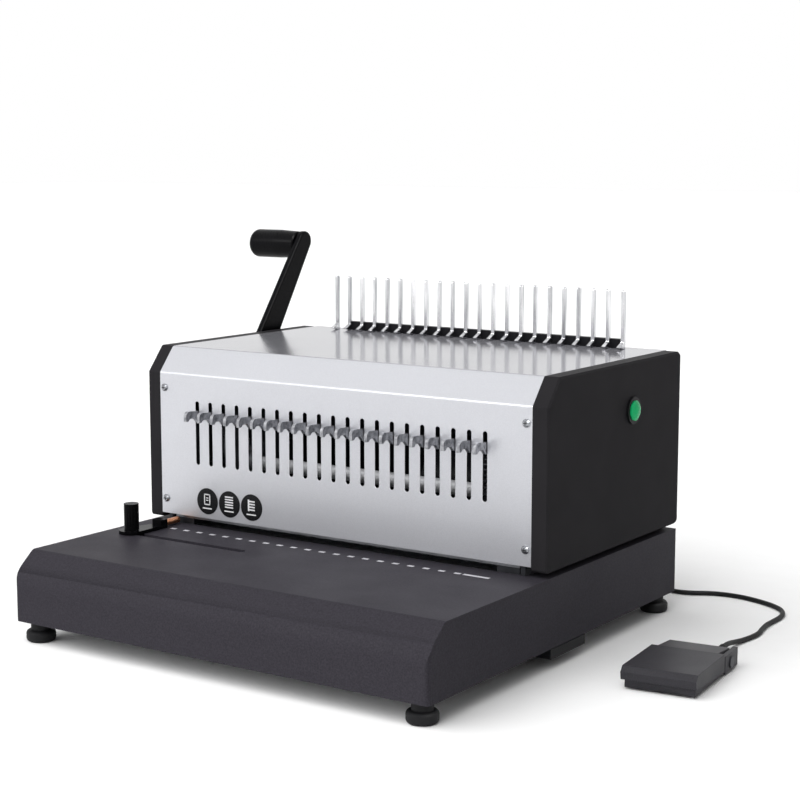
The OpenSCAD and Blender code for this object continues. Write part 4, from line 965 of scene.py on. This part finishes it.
@dataclass
class FootPedal:
    """Foot pedal with its cord and the ribbed strain reliefs."""

    cord_radius: float = 2.0 * MM
    cord_sides: int = 20
    cord_steps: int = 10
    base_corner: tuple[float, float, float] = (198.0 * MM, 194.0 * MM, 0.0)
    pedal_turn: float = math.radians(6.0)
    # Middle of the pedal, and its strain relief's height, place to the right and reach to the rear, in millimetres
    pedal_centre: tuple[float, float] = (286.6, 15.2)
    relief_z: float = 7.0
    relief_side: float = 10.0
    relief_reach: float = 71.0
    # Last point of the route before the pedal: how far behind the relief's tip, and how far below it
    last_point: tuple[float, float] = (9.0, 0.3)
    base_relief: StrainRelief = StrainRelief("base_strain_relief", "base_gland", 26.0, 10.0)
    pedal_relief: StrainRelief = StrainRelief("pedal_strain_relief", "pedal_gland", 23.0, 6.0)
    # Route of the cord from the tip of the base's relief, in millimetres from the base's rear right corner
    bends: tuple[tuple[float, float, float], ...] = (
        (-78, 26, 32), (-78, 33, 31.68), (-77, 42, 28.16), (-74.5, 50, 21.12), (-69.5, 56, 13.12), (-62, 59, 6.4),
        (-52, 58.5, 3), (-41, 55, 2.2), (-30, 51, 2.2), (-18.5, 50, 2.2), (-7, 54, 2.2), (4, 60, 2.2),
        (17, 63.5, 2.2), (32, 63.5, 2.2), (45, 60.5, 2.2), (57, 56, 2.2), (68.5, 50, 2.2), (78.5, 41.5, 2.2),
        (85, 30, 2.2), (87.5, 16.5, 2.2), (87.5, 2.5, 2.2), (87.5, -11.5, 2.2), (89.5, -25.5, 2.2), (92, -39, 2.2),
        (91.6, -52, 2.2), (89.8, -65, 2.4), (88.6, -77, 3.6), (89.1, -88, 5.4))

    def build(self) -> None:
        """Dresses the pedal and lays its cord."""
        dress(PEDAL_PAINT, "pedal_base", "pedal_treadle")
        dress(FRAME_STEEL, "pedal_pin")
        dress(TRIM_ABS, "pedal_switch")
        dress(FOOT_RUBBER, "pedal_pads")
        soften(0.5, "pedal_treadle", "pedal_base")
        rearward = np.array([-math.sin(self.pedal_turn), math.cos(self.pedal_turn), 0.0])
        right = np.array([rearward[1], -rearward[0], 0.0])
        tip = MM * (np.array([*self.pedal_centre, self.relief_z]) + self.relief_side * right
                    + self.relief_reach * rearward)
        route = MM * np.array(self.bends) + np.array(self.base_corner)
        behind, below = self.last_point
        near = tip + MM * (behind * rearward - np.array([0.0, 0.0, below]))
        self.base_relief.add(route[0], np.array([0.0, 1.0, 0.0]))
        self.pedal_relief.add(tip, rearward)
        self.cord(np.vstack([route, near, tip]))

    def cord(self, route: np.ndarray) -> None:
        """Lays the pedal cord as one smooth tube through the points of its route.

        Between two points the line is a Catmull-Rom cubic of the four points round it.

        Args:
            route: N by 3 points from the base to the pedal.
        """
        padded = np.vstack([2.0 * route[0] - route[1], route, 2.0 * route[-1] - route[-2]])
        t = np.linspace(0.0, 1.0, self.cord_steps, endpoint=False)[None, :, None]
        p0, p1, p2, p3 = (padded[i:len(padded) - 3 + i][:, None, :] for i in range(4))
        line = 0.5 * (2.0 * p1 + (p2 - p0) * t + (2.0 * p0 - 5.0 * p1 + 4.0 * p2 - p3) * t ** 2
                      + (3.0 * p1 - p0 - 3.0 * p2 + p3) * t ** 3)
        path = np.vstack([line.reshape(-1, 3), route[-1]])
        points = tube(path, np.gradient(path, axis=0), np.full(len(path), self.cord_radius), self.cord_sides)
        piece = add_piece("pedal_lead", points, grid_faces(len(path), self.cord_sides), CORD_PVC, Body.MACHINE,
                          "cord_rubber", ends=end_faces(len(path), self.cord_sides))
        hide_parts("pedal_cord")


@dataclass(frozen=True)
class Sun:
    """A distant lamp: the direction to it, its power per square metre and how wide it looks in degrees."""

    towards: tuple[float, float, float]
    strength: float
    width: float

    def place(self, name: str) -> bpy.types.Object:
        """Adds the lamp to the scene.

        Args:
            name: name of the lamp.

        Returns:
            The lamp.
        """
        data = bpy.data.lights.new(name, "SUN")
        data.energy = self.strength
        data.angle = math.radians(self.width)
        lamp = bpy.data.objects.new(name, data)
        x, y, z = self.towards
        lamp.rotation_euler = (math.atan2(math.hypot(x, y), z), 0.0, math.atan2(y, x) + math.pi / 2.0)
        bpy.context.scene.collection.objects.link(lamp)
        return lamp


@dataclass
class Studio:
    """Pale floor, white surround, soft lamps and the camera."""

    floor_reach: float = 14.0
    ambient: float = 0.35
    key: Sun = Sun((-0.30, -0.62, 0.72), 3.75, 90.0)
    gleams: tuple[Sun, ...] = (Sun((0.64, -0.21, 0.74), 3.0, 26.0), Sun((-0.485, -0.772, 0.41), 0.5, 10.0))
    # A strip lamp inside the housing lets the cam shaft show as a grey band behind the slots.
    inner_at: tuple[float, float, float] = (0.0, 0.010, 0.195)
    inner_size: tuple[float, float] = (0.30, 0.012)
    inner_tilt_deg: float = 26.0
    inner_watts: float = 0.08
    camera_at: tuple[float, float, float] = (0.8296, -1.1601, 0.3916)
    pitch_deg: float = 81.91
    yaw_deg: float = 34.13
    lens_mm: float = 79.31
    sensor_mm: float = 36.0
    view_reach: float = 100.0

    def build(self) -> None:
        """Sets the stage, the light and the camera."""
        bpy.context.scene.view_settings.view_transform = "Standard"
        self.floor()
        self.surround()
        self.lamps()
        self.camera()

    def floor(self) -> None:
        """Lays a large matte white sheet on the desk plane."""
        mesh = bpy.data.meshes.new("studio_floor")
        corners = self.floor_reach * np.array([[-1, -1, 0], [1, -1, 0], [1, 1, 0], [-1, 1, 0]])
        mesh.from_pydata(corners.tolist(), [], [(0, 1, 2, 3)])
        mesh.materials.append(FLOOR_PAPER.material())
        sheet = bpy.data.objects.new("studio_floor", mesh)
        bpy.context.scene.collection.objects.link(sheet)

    def surround(self) -> None:
        """Makes the world white for the eye and for reflections, and dimmer as a light source."""
        world = bpy.data.worlds.new("white_surround")
        bpy.context.scene.world = world
        world.use_nodes = True
        tree = world.node_tree
        tree.nodes.clear()
        path = add_node(tree, "ShaderNodeLightPath")
        seen = path.outputs["Is Camera Ray"]
        for kind in ("Is Glossy Ray", "Is Transmission Ray"):
            either = add_node(tree, "ShaderNodeMath", {"operation": "MAXIMUM"}, {0: seen, 1: path.outputs[kind]})
            seen = either.outputs["Value"]
        level = add_node(tree, "ShaderNodeMapRange", {"To Min": self.ambient, "To Max": 1.0}, {"Value": seen})
        glow = add_node(tree, "ShaderNodeBackground", {"Color": (1.0, 1.0, 1.0, 1.0)},
                        {"Strength": level.outputs["Result"]})
        add_node(tree, "ShaderNodeOutputWorld", links={"Surface": glow.outputs["Background"]})

    def lamps(self) -> None:
        """Adds a wide soft lamp for matte surfaces, narrow ones that only shiny edges mirror, and a glow inside."""
        self.key.place("key_lamp").visible_glossy = False
        for number, gleam in enumerate(self.gleams):
            gleam.place(f"gleam_lamp_{number}").visible_diffuse = False
        data = bpy.data.lights.new("inner_lamp", "AREA")
        data.energy = self.inner_watts
        data.shape = "RECTANGLE"
        data.size, data.size_y = self.inner_size
        glow = bpy.data.objects.new("inner_lamp", data)
        glow.location = self.inner_at
        glow.rotation_euler = (math.radians(self.inner_tilt_deg), 0.0, 0.0)
        glow.visible_camera = False
        bpy.context.scene.collection.objects.link(glow)

    def camera(self) -> None:
        """Places the camera at the photograph's viewpoint."""
        data = bpy.data.cameras.new("photo_camera")
        data.lens = self.lens_mm
        data.sensor_width = self.sensor_mm
        data.clip_end = self.view_reach
        eye = bpy.data.objects.new("photo_camera", data)
        eye.location = self.camera_at
        eye.rotation_euler = (math.radians(self.pitch_deg), 0.0, math.radians(self.yaw_deg))
        bpy.context.scene.collection.objects.link(eye)
        bpy.context.scene.camera = eye


def main() -> None:
    """Builds the sub-assemblies in order."""
    logging.basicConfig(level=logging.INFO, format="%(name)s: %(message)s")
    for unit in (Studio(), FootPedal(), BaseUnit(), Housing(), PunchUnit(), CombOpener(), SideGuide()):
        unit.build()
        LOG.info("built %s", type(unit).__name__)


if __name__ == "__main__":
    main()
